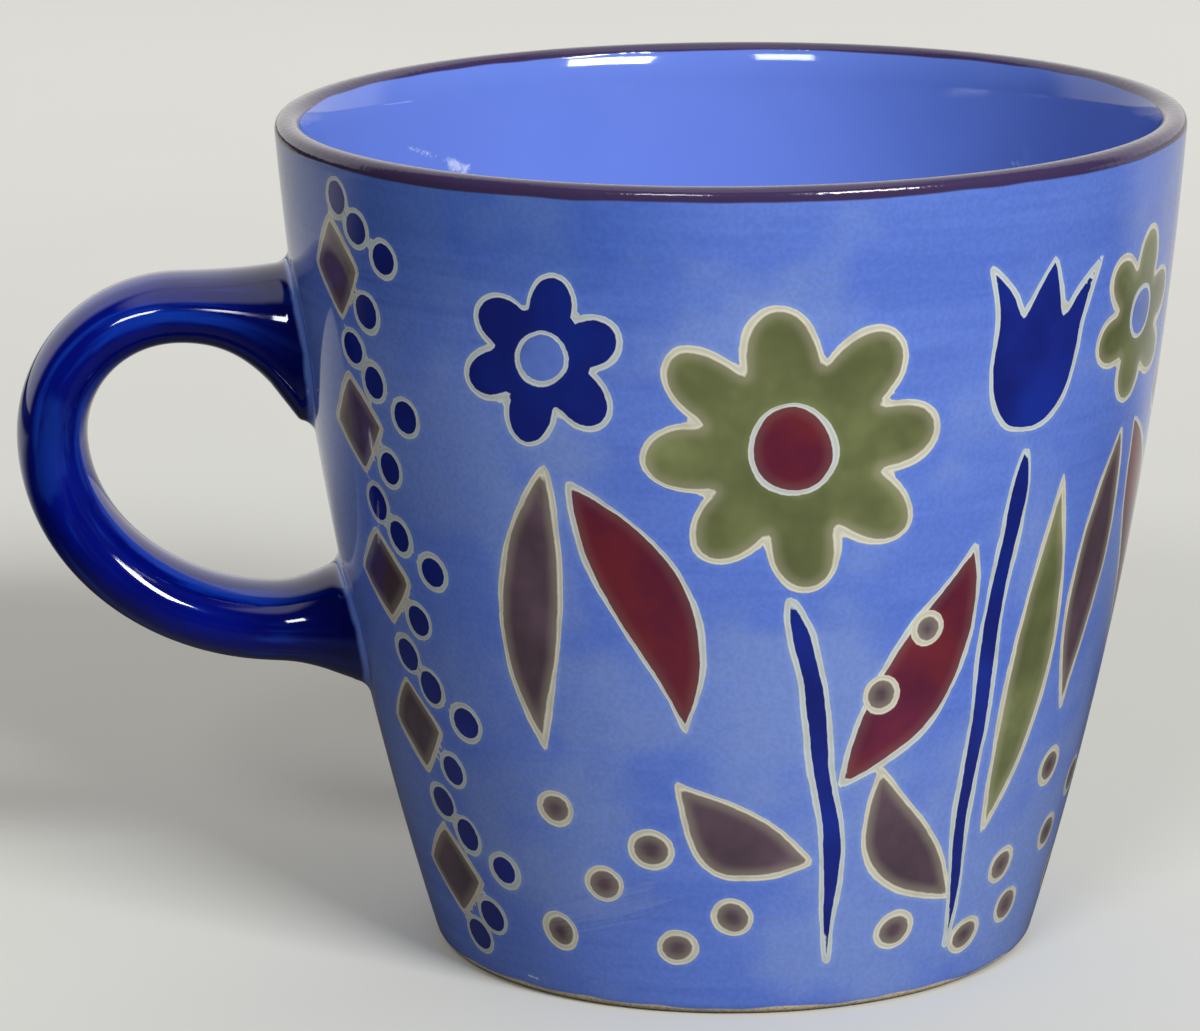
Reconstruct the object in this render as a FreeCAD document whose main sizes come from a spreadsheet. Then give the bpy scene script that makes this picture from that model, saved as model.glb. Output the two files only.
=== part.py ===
"""A stoneware mug, fired in one piece: a bowed, tapering cup on a foot ring, with a looped handle.

Millimetres, +Z up. The origin is the centre of the foot, on the table, and the handle points to -X.
The cup is turned about the Z axis. The handle's middle line lies in the XZ plane: a level run out of
the wall, a quarter circle, a quarter ellipse, and a level run back. Its oval section swells where it
meets the wall, and a fillet runs round each joint.
"""
import FreeCAD, Part
import math
import os

import Sketcher
from FreeCAD import Vector

NODE = "mug"

# Driving dimensions: alias, value and what it measures. Lengths in millimetres, angles in degrees.
DIMENSIONS = [
    ("rim_diameter", 100.0, "outside of the lip"),
    ("mug_height", 93.5, "table to the top of the lip"),
    ("lip_thickness", 2.9, "wall at the lip, which is fully rounded"),
    ("base_diameter", 66.8, "where the line of the wall meets the table"),
    ("wall_curve_radius", 436.0, "bow of the wall, inside and out"),
    ("base_wall_thickness", 4.6, "wall level with the floor"),
    ("floor_height", 6.4, "table to the floor inside"),
    ("floor_rounding", 9.0, "between the floor and the wall inside"),
    ("foot_rounding", 3.5, "between the wall and the foot"),
    ("foot_ring_width", 5.8, "line of the wall to the inside of the foot ring"),
    ("foot_recess_depth", 1.7, "table to the underside of the floor"),
    ("foot_recess_slope", 1.2, "slope of the recess, measured level"),
    ("foot_ring_rounding", 0.5, "inside edge of the foot ring"),
    ("handle_reach", 29.3, "outside of the lip to the outside of the handle"),
    ("handle_top", 76.45, "table to the top of the handle's upper run"),
    ("handle_bottom", 32.25, "table to the underside of the handle's lower run"),
    ("handle_thickness", 7.8, "upper run and grip, in the plane of the loop"),
    ("handle_low_thickness", 8.8, "lower run, in the plane of the loop"),
    ("handle_width", 13.0, "across the plane of the loop"),
    ("upper_bend_radius", 14.2, "middle line, upper run to the outermost point"),
    ("lower_run", 7.9, "wall to where the lower run starts to bend up"),
    ("upper_root_rise", 1.1, "how far the upper root swells upwards"),
    ("upper_root_drop", 9.0, "how far the upper root swells downwards"),
    ("lower_root_rise", 3.2, "how far the lower root swells upwards"),
    ("lower_root_drop", 2.4, "how far the lower root swells downwards"),
    ("root_spread", 3.8, "how much wider both roots grow"),
    ("root_seat_depth", 4.0, "how far the handle's ends run into the wall"),
    ("root_fillet", 1.6, "between the handle and the wall"),
]
VALUES = {alias: value for alias, value, _ in DIMENSIONS}

# Two places of the solid this close are the same place.
SAME_PLACE = 0.002

# Equal steps along an edge, at whose ends its place is tested.
EDGE_STEPS = 4

# The lines that several sketches share, as expressions over the sheet.
LIP_RADIUS = "Sizes.lip_thickness / 2"
LIP_CENTRE_X = "(Sizes.rim_diameter - Sizes.lip_thickness) / 2"
LIP_CENTRE_Z = "Sizes.mug_height - Sizes.lip_thickness / 2"


def make_sheet(doc):
    """The table of driving dimensions: name, value and meaning in each row."""
    sheet = doc.addObject("Spreadsheet::Sheet", "Sizes")
    for row, (alias, value, meaning) in enumerate(DIMENSIONS, start=1):
        sheet.set(f"A{row}", alias.replace("_", " "))
        sheet.set(f"B{row}", str(value))
        sheet.set(f"C{row}", meaning)
        sheet.setAlias(f"B{row}", alias)
    doc.recompute()
    return sheet


def new_sketch(body, name, role):
    """An empty sketch on one of the body's own origin planes."""
    sketch = body.newObject("Sketcher::SketchObject", name)
    plane = next(feature for feature in body.Origin.OriginFeatures if feature.Role == role)
    sketch.AttachmentSupport = [(plane, "")]
    sketch.MapMode = "FlatFace"
    return sketch


def bind(sketch, name, expression, kind, *where):
    """Adds a dimension to the sketch and ties it to an expression over the sheet."""
    index = sketch.addConstraint(Sketcher.Constraint(kind, *where))
    sketch.renameConstraint(index, name)
    sketch.setExpression(f"Constraints.{name}", expression)


def join(sketch, kind, *where):
    """Adds a geometric constraint to the sketch."""
    sketch.addConstraint(Sketcher.Constraint(kind, *where))


def circle_centre(point, radius, other, other_radius):
    """The centre, on the axis side, at one distance from a point and another from a second point."""
    span = other - point
    along = (radius**2 - other_radius**2 + span.Length**2) / (2 * span.Length)
    across = math.sqrt(radius**2 - along**2)
    unit = span.normalize()
    return point + unit * along + Vector(-unit.y, unit.x, 0) * across


def arc(centre, start, end):
    """An arc that runs anticlockwise about its centre from one point to another."""
    first, last = start - centre, end - centre
    circle = Part.Circle(centre, Vector(0, 0, 1), first.Length)
    return Part.ArcOfCircle(circle, math.atan2(first.y, first.x), math.atan2(last.y, last.x))


class CupLine:
    """First places of the cup's outline, from which its sketches are solved."""

    def __init__(self):
        self.lip = VALUES["lip_thickness"] / 2
        self.wall = VALUES["wall_curve_radius"]
        self.height = VALUES["mug_height"]
        self.lip_centre = Vector(VALUES["rim_diameter"] / 2 - self.lip, self.height - self.lip, 0)
        self.lip_top = self.lip_centre + Vector(0, self.lip, 0)
        self.base = Vector(VALUES["base_diameter"] / 2, 0, 0)
        self.outer_centre = circle_centre(self.base, self.wall, self.lip_centre, self.wall - self.lip)
        self.outer_end = self.touch(self.outer_centre)
        level = VALUES["floor_height"]
        outer_x = self.outer_centre.x + math.sqrt(self.wall**2 - (level - self.outer_centre.y) ** 2)
        self.outer_at_floor = Vector(outer_x, level, 0)
        self.floor_edge = self.outer_at_floor - Vector(VALUES["base_wall_thickness"], 0, 0)
        self.inner_centre = circle_centre(
            self.floor_edge, self.wall, self.lip_centre, self.wall + self.lip
        )
        self.inner_end = self.touch(self.inner_centre)

    def touch(self, centre):
        """Where the wall's circle about this centre touches the lip's circle."""
        return centre + (self.lip_centre - centre).normalize() * self.wall

    def is_on_wall(self, point):
        """Whether a point of the solid lies on the outside of the wall."""
        across = math.hypot(point.x, point.y) - self.outer_centre.x
        return abs(math.hypot(across, point.z - self.outer_centre.y) - self.wall) < SAME_PLACE


def draw_outside(sketch, line, construction):
    """The outside of the wall and the outer half of the lip, as the first two edges of a sketch."""
    wall = sketch.addGeometry(arc(line.outer_centre, line.base, line.outer_end), construction)
    lip = sketch.addGeometry(arc(line.lip_centre, line.outer_end, line.lip_top), construction)
    join(sketch, "PointOnObject", wall, 1, -1)
    join(sketch, "Tangent", wall, 2, lip, 1)
    join(sketch, "Vertical", lip, 3, lip, 2)
    bind(sketch, "base_radius", "Sizes.base_diameter / 2", "DistanceX", -1, 1, wall, 1, line.base.x)
    bind(sketch, "wall_curve", "Sizes.wall_curve_radius", "Radius", wall, line.wall)
    bind(sketch, "lip_radius", LIP_RADIUS, "Radius", lip, line.lip)
    bind(sketch, "lip_x", LIP_CENTRE_X, "DistanceX", -1, 1, lip, 3, line.lip_centre.x)
    bind(sketch, "lip_z", LIP_CENTRE_Z, "DistanceY", -1, 1, lip, 3, line.lip_centre.y)
    return wall, lip


def make_outside(body, line):
    """The cup as a solid of revolution, up to the middle of the lip."""
    sketch = new_sketch(body, "CupOutline", "XZ_Plane")
    wall, lip = draw_outside(sketch, line, False)
    axis_top = Vector(0, line.height, 0)
    top = sketch.addGeometry(Part.LineSegment(line.lip_top, axis_top), False)
    axis = sketch.addGeometry(Part.LineSegment(axis_top, Vector()), False)
    foot = sketch.addGeometry(Part.LineSegment(Vector(), line.base), False)
    join(sketch, "Coincident", lip, 2, top, 1)
    join(sketch, "Coincident", top, 2, axis, 1)
    join(sketch, "Coincident", axis, 2, foot, 1)
    join(sketch, "Coincident", foot, 2, wall, 1)
    join(sketch, "Coincident", foot, 1, -1, 1)
    join(sketch, "Horizontal", top)
    join(sketch, "Vertical", axis)
    turned = body.newObject("PartDesign::Revolution", "CupOutside")
    turned.Profile = (sketch, [""])
    turned.ReferenceAxis = (sketch, ["V_Axis"])
    turned.Angle = 360
    return turned


def make_cavity(body, line):
    """The inside of the cup and the inner half of the lip, cut out about the axis."""
    sketch = new_sketch(body, "CavityOutline", "XZ_Plane")
    outer, lip = draw_outside(sketch, line, True)
    axis_floor, axis_top = Vector(0, line.floor_edge.y, 0), Vector(0, line.height, 0)
    inner_lip = sketch.addGeometry(arc(line.lip_centre, line.lip_top, line.inner_end), False)
    wall = sketch.addGeometry(arc(line.inner_centre, line.floor_edge, line.inner_end), False)
    floor = sketch.addGeometry(Part.LineSegment(line.floor_edge, axis_floor), False)
    axis = sketch.addGeometry(Part.LineSegment(axis_floor, axis_top), False)
    top = sketch.addGeometry(Part.LineSegment(axis_top, line.lip_top), False)
    gauge = sketch.addGeometry(Part.LineSegment(line.floor_edge, line.outer_at_floor), True)
    join(sketch, "Coincident", inner_lip, 1, lip, 2)
    join(sketch, "Coincident", inner_lip, 3, lip, 3)
    join(sketch, "Tangent", inner_lip, 2, wall, 2)
    join(sketch, "Equal", wall, outer)
    join(sketch, "Coincident", wall, 1, floor, 1)
    join(sketch, "Coincident", floor, 2, axis, 1)
    join(sketch, "Coincident", axis, 2, top, 1)
    join(sketch, "Coincident", top, 2, inner_lip, 1)
    join(sketch, "Coincident", gauge, 1, wall, 1)
    join(sketch, "PointOnObject", gauge, 2, outer)
    join(sketch, "PointOnObject", floor, 2, -2)
    join(sketch, "Horizontal", floor)
    join(sketch, "Horizontal", top)
    join(sketch, "Vertical", axis)
    join(sketch, "Horizontal", gauge)
    bind(sketch, "floor_z", "Sizes.floor_height", "DistanceY", -1, 1, floor, 2, axis_floor.y)
    thickness = VALUES["base_wall_thickness"]
    bind(sketch, "wall", "Sizes.base_wall_thickness", "DistanceX", gauge, 1, gauge, 2, thickness)
    cavity = body.newObject("PartDesign::Groove", "Cavity")
    cavity.Profile = (sketch, [""])
    cavity.ReferenceAxis = (sketch, ["V_Axis"])
    cavity.Angle = 360
    return cavity


def make_foot_recess(body):
    """The shallow recess under the floor, which leaves the foot ring."""
    sketch = new_sketch(body, "FootRecessOutline", "XZ_Plane")
    ring = VALUES["base_diameter"] / 2 - VALUES["foot_ring_width"]
    depth = VALUES["foot_recess_depth"]
    slope = VALUES["foot_recess_slope"]
    corners = [Vector(), Vector(ring, 0, 0), Vector(ring - slope, depth, 0), Vector(0, depth, 0)]
    sides = [
        sketch.addGeometry(Part.LineSegment(corners[i], corners[(i + 1) % len(corners)]), False)
        for i in range(len(corners))
    ]
    for side, following in zip(sides, sides[1:] + sides[:1]):
        join(sketch, "Coincident", side, 2, following, 1)
    join(sketch, "Coincident", sides[0], 1, -1, 1)
    join(sketch, "Horizontal", sides[0])
    join(sketch, "Horizontal", sides[2])
    join(sketch, "Vertical", sides[3])
    ring_radius = "Sizes.base_diameter / 2 - Sizes.foot_ring_width"
    bind(sketch, "ring", ring_radius, "DistanceX", sides[0], 1, sides[0], 2, ring)
    bind(sketch, "depth", "Sizes.foot_recess_depth", "DistanceY", sides[1], 1, sides[1], 2, depth)
    bind(sketch, "slope", "Sizes.foot_recess_slope", "DistanceX", sides[1], 2, sides[1], 1, slope)
    recess = body.newObject("PartDesign::Groove", "FootRecess")
    recess.Profile = (sketch, [""])
    recess.ReferenceAxis = (sketch, ["V_Axis"])
    recess.Angle = 360
    return recess


def wall_at(level):
    """The outside radius of the wall at a height: a straight cone, plus the bow."""
    taper = "(Sizes.rim_diameter - Sizes.base_diameter) / 2 / Sizes.mug_height"
    bow = f"{level} * (Sizes.mug_height - {level}) / (2 * Sizes.wall_curve_radius)"
    return f"(Sizes.base_diameter / 2 + {taper} * {level} + {bow})"


# The handle's middle line, as expressions. Distances are from the mug's axis, towards the handle.
OUTERMOST_X = "(Sizes.rim_diameter / 2 + Sizes.handle_reach - Sizes.handle_thickness / 2)"
UPPER_RUN_Z = "(Sizes.handle_top - Sizes.handle_thickness / 2)"
LOWER_RUN_Z = "(Sizes.handle_bottom + Sizes.handle_low_thickness / 2)"
UPPER_WALL_X = wall_at(UPPER_RUN_Z)
LOWER_WALL_X = wall_at(LOWER_RUN_Z)
UPPER_BEND_X = f"({OUTERMOST_X} - Sizes.upper_bend_radius)"
OUTERMOST_Z = f"({UPPER_RUN_Z} - Sizes.upper_bend_radius)"
LOWER_BEND_X = f"({LOWER_WALL_X} + Sizes.lower_run)"
LOWER_BEND_REACH = f"({OUTERMOST_X} - {LOWER_BEND_X})"
LOWER_BEND_HEIGHT = f"({OUTERMOST_Z} - {LOWER_RUN_Z})"

# Sections of each root, as shares of the way from the bend to the wall. The swelling gathers
# towards the wall: it is this share raised to a power.
UPPER_ROOT_SHARES = (0.92, 0.7, 0.4)
LOWER_ROOT_SHARES = (0, 0.45, 0.8)
UPPER_SWELL_POWER = 2.5
LOWER_SWELL_POWER = 1.5

# Sections of the bends, in degrees along the quarter circle and along the quarter ellipse.
UPPER_BEND_TURNS = (0, 30, 60, 90)
LOWER_BEND_TURNS = (22.5, 45, 67.5)
QUARTER_TURN = 90


class Station:
    """One section of the handle: the place and turn of its plane, and the size of its oval."""

    def __init__(self, away, level, turn, thickness, width):
        """Takes three expressions, then the oval's sizes as shares of named dimensions."""
        self.away, self.level, self.turn = away, level, turn
        self.thickness, self.width = thickness, width


def share_text(shares):
    """A size as an expression: the sum of named dimensions, each times its share."""
    return " + ".join(f"{share} * Sizes.{alias}" for alias, share in shares.items())


def share_value(shares):
    """The same size as a number."""
    return sum(share * VALUES[alias] for alias, share in shares.items())


def root_station(root, thickness, away, level, turn, swell):
    """A section of the upper or the lower root, swollen by a share of its full growth."""
    rise, drop = f"{root}_root_rise", f"{root}_root_drop"
    centre = f"{level} + (Sizes.{rise} - Sizes.{drop}) / 2 * {swell}"
    sizes = {thickness: 1, rise: swell, drop: swell}
    return Station(away, centre, turn, sizes, {"handle_width": 1, "root_spread": swell})


def upper_root_station(away, swell):
    """A section of the upper root, where the middle line runs out of the wall."""
    return root_station("upper", "handle_thickness", away, UPPER_RUN_Z, "0", swell)


def lower_root_station(away, swell):
    """A section of the lower root, where the middle line runs back into the wall."""
    turn = str(2 * QUARTER_TURN)
    return root_station("lower", "handle_low_thickness", away, LOWER_RUN_Z, turn, swell)


def upper_root():
    """The sections from the upper end, inside the wall, to the bend."""
    stations = [upper_root_station(f"{UPPER_WALL_X} - Sizes.root_seat_depth", 1)]
    for share in UPPER_ROOT_SHARES:
        away = f"{UPPER_BEND_X} - ({UPPER_BEND_X} - {UPPER_WALL_X}) * {share}"
        stations.append(upper_root_station(away, share**UPPER_SWELL_POWER))
    return stations


def lower_root():
    """The sections from the end of the bend to the lower end, inside the wall."""
    stations = []
    for share in LOWER_ROOT_SHARES:
        away = f"{LOWER_BEND_X} - Sizes.lower_run * {share}"
        stations.append(lower_root_station(away, share**LOWER_SWELL_POWER))
    stations.append(lower_root_station(f"{LOWER_WALL_X} - Sizes.root_seat_depth", 1))
    return stations


def upper_bend_station(turn):
    """A section on the quarter circle."""
    away = f"{UPPER_BEND_X} + Sizes.upper_bend_radius * sin({turn})"
    level = f"{OUTERMOST_Z} + Sizes.upper_bend_radius * cos({turn})"
    return Station(away, level, str(turn), {"handle_thickness": 1}, {"handle_width": 1})


def lower_bend_station(turn):
    """A section on the quarter ellipse, square to it, as the grip thickens into the lower run."""
    away = f"{LOWER_BEND_X} + {LOWER_BEND_REACH} * cos({turn})"
    level = f"{OUTERMOST_Z} - {LOWER_BEND_HEIGHT} * sin({turn})"
    lean = f"90 deg + atan({LOWER_BEND_REACH} / {LOWER_BEND_HEIGHT} * tan({turn}))"
    share = turn / QUARTER_TURN
    thickness = {"handle_thickness": 1 - share, "handle_low_thickness": share}
    return Station(away, level, lean, thickness, {"handle_width": 1})


def handle_stations():
    """The sections of the handle, in order round the loop."""
    bends = [upper_bend_station(turn) for turn in UPPER_BEND_TURNS]
    bends += [lower_bend_station(turn) for turn in LOWER_BEND_TURNS]
    return upper_root() + bends + lower_root()


def draw_oval(body, name, station):
    """The sketch of one section: an ellipse about the middle line, long either way."""
    sketch = new_sketch(body, name, "YZ_Plane")
    base = f"vector(0; {station.level}; -({station.away}))"
    turn = f"rotation(vector(1; 0; 0); -({station.turn}))"
    sketch.setExpression("AttachmentOffset", f"placement({base}; {turn})")
    width, thickness = share_value(station.width), share_value(station.thickness)
    across, along = Vector(width / 2, 0, 0), Vector(0, thickness / 2, 0)
    wide = width >= thickness
    major, minor = (across, along) if wide else (along, across)
    oval = sketch.addGeometry(Part.Ellipse(major, minor, Vector()), False)
    sketch.exposeInternalGeometry(oval)
    major_axis, minor_axis = oval + 1, oval + 2
    width_line, thickness_line = (major_axis, minor_axis) if wide else (minor_axis, major_axis)
    join(sketch, "Coincident", oval, 3, -1, 1)
    join(sketch, "Horizontal" if wide else "Vertical", major_axis)
    bind(sketch, "width", share_text(station.width), "Distance", width_line, width)
    bind(sketch, "thickness", share_text(station.thickness), "Distance", thickness_line, thickness)
    return sketch


def make_handle(body):
    """The handle, lofted through its sections into the wall at both ends."""
    sections = [
        draw_oval(body, f"HandleSection{number}", station)
        for number, station in enumerate(handle_stations(), start=1)
    ]
    handle = body.newObject("PartDesign::AdditiveLoft", "HandleLoft")
    handle.Profile = (sections[0], [""])
    handle.Sections = sections[1:]
    handle.Ruled = False
    return handle


def edge_names(shape, wanted):
    """The names of a shape's edges that pass a test."""
    return [f"Edge{number}" for number, edge in enumerate(shape.Edges, start=1) if wanted(edge)]


def is_ring(edge, radius, level):
    """Whether an edge is a full circle about the mug's axis, of one radius at one height."""
    if not isinstance(edge.Curve, Part.Circle):
        return False
    centre = edge.Curve.Center
    return (
        abs(edge.Curve.Radius - radius) < SAME_PLACE
        and abs(centre.z - level) < SAME_PLACE
        and math.hypot(centre.x, centre.y) < SAME_PLACE
    )


def make_fillet(body, name, base, edges, alias):
    """A fillet on named edges of the feature before it, with its radius from the sheet."""
    fillet = body.newObject("PartDesign::Fillet", name)
    fillet.Base = (base, edges)
    fillet.Radius = VALUES[alias]
    fillet.setExpression("Radius", f"Sizes.{alias}")
    return fillet


def is_root_edge(edge, line):
    """Whether an edge is part of the line along which the handle meets the wall."""
    if isinstance(edge.Curve, Part.Circle):
        return False
    first, last = edge.ParameterRange
    step = (last - first) / EDGE_STEPS
    points = [edge.valueAt(first + step * count) for count in range(EDGE_STEPS + 1)]
    return all(point.x < 0 and line.is_on_wall(point) for point in points)


def make_mug(doc):
    """The whole mug, feature by feature."""
    line = CupLine()
    body = doc.addObject("PartDesign::Body", "Mug")
    body.Label = NODE
    make_outside(body, line)
    doc.recompute()
    handle = make_handle(body)
    doc.recompute()
    roots = edge_names(handle.Shape, lambda edge: is_root_edge(edge, line))
    joined = make_fillet(body, "RootFillets", handle, roots, "root_fillet")
    doc.recompute()
    foot = edge_names(joined.Shape, lambda edge: is_ring(edge, line.base.x, 0))
    make_fillet(body, "FootRounding", joined, foot, "foot_rounding")
    doc.recompute()
    cavity = make_cavity(body, line)
    doc.recompute()
    floor = edge_names(cavity.Shape, lambda edge: is_ring(edge, line.floor_edge.x, line.floor_edge.y))
    make_fillet(body, "FloorRounding", cavity, floor, "floor_rounding")
    doc.recompute()
    recess = make_foot_recess(body)
    doc.recompute()
    ring = line.base.x - VALUES["foot_ring_width"]
    inside = edge_names(recess.Shape, lambda edge: is_ring(edge, ring, 0))
    make_fillet(body, "FootRingRounding", recess, inside, "foot_ring_rounding")
    doc.recompute()
    return body


def check(doc, body):
    """Stops the script if any feature failed or the mug isn't one whole, closed solid."""
    failed = [item.Name for item in doc.Objects if {"Invalid", "Error"} & set(item.State)]
    if failed:
        raise RuntimeError(f"features that failed: {failed}")
    if body.Shape.isNull() or not body.Shape.isValid() or len(body.Shape.Solids) != 1:
        raise RuntimeError("the mug isn't one valid solid")


def main():
    """Builds the document, checks it and writes the mug."""
    os.makedirs("parts", exist_ok=True)
    doc = FreeCAD.newDocument("Mug")
    make_sheet(doc)
    body = make_mug(doc)
    check(doc, body)
    body.Shape.exportStep(f"parts/{NODE}.step")


main()
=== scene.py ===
"""A stoneware mug with a cobalt loop handle and painted motifs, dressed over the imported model.

Sizes in the classes are millimetres, unless their notes say metres, and every mesh is in metres.
The cup is turned about Z, its handle points towards -X, and the photograph was taken from about -Y.
"""

import logging
import math
from dataclasses import dataclass, field
from enum import Enum
from typing import Any, ClassVar, Iterable, NamedTuple, Self, Sequence

import bpy
import numpy as np
from mathutils import Matrix, Vector


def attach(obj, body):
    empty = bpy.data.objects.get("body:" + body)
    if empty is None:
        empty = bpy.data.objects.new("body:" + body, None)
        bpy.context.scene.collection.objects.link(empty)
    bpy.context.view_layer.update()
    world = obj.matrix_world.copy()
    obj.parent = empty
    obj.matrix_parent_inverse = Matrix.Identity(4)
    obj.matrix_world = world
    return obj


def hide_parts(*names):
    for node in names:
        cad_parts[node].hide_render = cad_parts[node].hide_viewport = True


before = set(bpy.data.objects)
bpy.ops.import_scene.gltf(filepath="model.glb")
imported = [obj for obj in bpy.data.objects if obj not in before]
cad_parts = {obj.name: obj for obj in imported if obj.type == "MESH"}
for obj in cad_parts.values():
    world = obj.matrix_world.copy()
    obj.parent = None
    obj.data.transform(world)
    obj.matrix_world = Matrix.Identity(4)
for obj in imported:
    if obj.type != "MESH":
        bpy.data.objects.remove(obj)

MM = 0.001
QUARTER = math.pi / 2
NODE = "mug"
BODY = "root"

log = logging.getLogger("mug")

Pair = tuple[float, float]
Triple = tuple[float, float, float]
Colour = tuple[float, float, float, float]
Socket = bpy.types.NodeSocket
Node = bpy.types.Node
Tree = bpy.types.NodeTree
Mesh = bpy.types.Mesh
Material = bpy.types.Material
Thing = bpy.types.Object


class Ramp(NamedTuple):
    """A soft step: a value that goes from start to end gives a level from low to high."""

    start: float
    end: float
    low: float = 0.0
    high: float = 1.0


class Waver(NamedTuple):
    """How noise moves a value to and fro: features for each metre, reach, and finer layers."""

    scale: float
    reach: float
    detail: float = 1.0


class Brush(NamedTuple):
    """How a glaze was brushed: a stroke's length and width and a patch's size, in metres."""

    length: float
    width: float
    patch: float


def linear(red: float, green: float, blue: float) -> Colour:
    """A colour as it is seen, in 0 to 255, as the linear colour that a shader takes.

    Args:
        red, green, blue: the seen colour.

    Returns:
        The linear colour, by the standard curve, with full cover.
    """
    parts = [value / 255 for value in (red, green, blue)]
    seen = [v / 12.92 if v <= 0.04045 else ((v + 0.055) / 1.055) ** 2.4 for v in parts]
    return (seen[0], seen[1], seen[2], 1.0)


def smooth_share(value: np.ndarray) -> np.ndarray:
    """Eases a share from 0 to 1, level at both ends."""
    share = np.clip(value, 0, 1)
    return share * share * (3 - 2 * share)


def arc(centre: np.ndarray, radius: float, first: float, last: float, steps: int) -> np.ndarray:
    """Points on an arc, by the angles in degrees at which it begins and ends."""
    turns = np.radians(np.linspace(first, last, steps + 1))
    return centre + radius * np.stack([np.cos(turns), np.sin(turns)], axis=1)


def smooth_loop(points: np.ndarray, steps: int) -> np.ndarray:
    """Rounds a closed row of points with a curve that passes through them.

    Args:
        points: the points, in order.
        steps: new points for each old one.

    Returns:
        The rounded row.
    """
    before, after, second = (np.roll(points, shift, 0) for shift in (1, -1, -2))
    rows = []
    for share in np.linspace(0, 1, steps, endpoint=False):
        rows.append(0.5 * (
            2 * points
            + (after - before) * share
            + (2 * before - 5 * points + 4 * after - second) * share**2
            + (3 * points - before - 3 * after + second) * share**3
        ))
    return np.stack(rows, axis=1).reshape(-1, 2)


class Graph:
    """Adds nodes to one tree and joins them, so that a tree reads as a list of steps."""

    kind: ClassVar[str] = "ShaderNodeTree"

    def __init__(self, tree: Tree) -> None:
        """Takes the tree to fill."""
        self.tree = tree

    @classmethod
    def open(
        cls, name: str, takes: dict[str, str], gives: dict[str, str]
    ) -> tuple[Self, dict[str, Socket], Node]:
        """Begins a node group with named inputs and outputs.

        Args:
            name: the group's name.
            takes: the kind of each input.
            gives: the kind of each output.

        Returns:
            The graph, its inputs by name, and the node that takes its outputs.
        """
        tree = bpy.data.node_groups.new(name, cls.kind)
        for side, sockets in (("INPUT", takes), ("OUTPUT", gives)):
            for title, kind in sockets.items():
                tree.interface.new_socket(name=title, in_out=side, socket_type="NodeSocket" + kind)
        entry = tree.nodes.new("NodeGroupInput")
        given = {socket.name: socket for socket in entry.outputs if socket.name}
        return cls(tree), given, tree.nodes.new("NodeGroupOutput")

    def node(self, kind: str, inputs: dict[Any, Any] | None = None, **settings: Any) -> Node:
        """Adds a node.

        Args:
            kind: the node's type.
            inputs: a value or an output for each input, by name or place.
            settings: the node's own settings, which are made first.

        Returns:
            The node.
        """
        made = self.tree.nodes.new(kind)
        for name, value in settings.items():
            setattr(made, name, value)
        for name, value in (inputs or {}).items():
            self.feed(made, name, value)
        return made

    def feed(self, node: Node, name: Any, value: Any) -> None:
        """Gives one input a value, or joins an output to it.

        Args:
            node: the node that has the input.
            name: the input's name, or its place among all inputs.
            value: a plain value or an output.
        """
        if isinstance(name, int):
            socket = node.inputs[name]
        else:
            socket = next(s for s in node.inputs if s.name == name and s.enabled)
        if isinstance(value, Socket):
            self.tree.links.new(value, socket)
        else:
            socket.default_value = value

    def out(self, node: Node, name: str = "") -> Socket:
        """The node's output of that name, or its first one in use."""
        return next(s for s in node.outputs if s.enabled and (not name or s.name == name))

    def math(self, work: str, first: Any, second: Any = 0.0, third: Any = 0.0) -> Socket:
        """One step of arithmetic on values or outputs."""
        inputs = {0: first, 1: second, 2: third}
        return self.out(self.node("ShaderNodeMath", inputs, operation=work))

    def times(self, first: Any, second: Any) -> Socket:
        """The product of two values."""
        return self.math("MULTIPLY", first, second)

    def plus(self, first: Any, second: Any) -> Socket:
        """The sum of two values."""
        return self.math("ADD", first, second)

    def minus(self, first: Any, second: Any) -> Socket:
        """The first value less the second."""
        return self.math("SUBTRACT", first, second)

    def scaled(self, value: Any, factor: Any, start: Any) -> Socket:
        """A value times a factor, added to a start."""
        return self.math("MULTIPLY_ADD", value, factor, start)

    def step(self, value: Any, start: Any, end: Any, low: Any = 0.0, high: Any = 1.0) -> Socket:
        """A soft step from low to high while a value goes from start to end.

        Args:
            value: the value that is read.
            start, end: where the step begins and ends.
            low, high: the levels before and after it.

        Returns:
            The level.
        """
        inputs = {"Value": value, "From Min": start, "From Max": end, "To Min": low, "To Max": high}
        return self.out(self.node("ShaderNodeMapRange", inputs, interpolation_type="SMOOTHSTEP"))

    def mix(self, share: Any, first: Any, second: Any, mode: str = "MIX") -> Socket:
        """Mixes two colours.

        Args:
            share: how much of the second colour.
            first, second: the colours.
            mode: how they meet.

        Returns:
            The mixed colour.
        """
        inputs = {"Factor": share, "A": first, "B": second}
        return self.out(self.node("ShaderNodeMix", inputs, data_type="RGBA", blend_type=mode))

    def dim(self, colour: Any, tint: Any) -> Socket:
        """A colour multiplied by another."""
        return self.mix(1.0, colour, tint, "MULTIPLY")

    def grey(self, value: Any) -> Socket:
        """A value as a colour without hue."""
        return self.vector(value, value, value)

    def noise(self, place: Any, scale: Any, detail: float, rough: float = 0.5) -> Socket:
        """A cloud of values about 0.5.

        Args:
            place: where it is read.
            scale: features for each metre.
            detail: how many finer layers.
            rough: how strong the finer layers are.

        Returns:
            The value.
        """
        inputs = {"Vector": place, "Scale": scale, "Detail": detail, "Roughness": rough}
        return self.out(self.node("ShaderNodeTexNoise", inputs), "Fac")

    def wavered(self, value: Any, place: Socket, waver: Waver) -> Socket:
        """A value that noise moves to and fro from place to place."""
        swing = self.minus(self.noise(place, waver.scale, waver.detail), 0.5)
        return self.scaled(swing, waver.reach, value)

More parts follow.
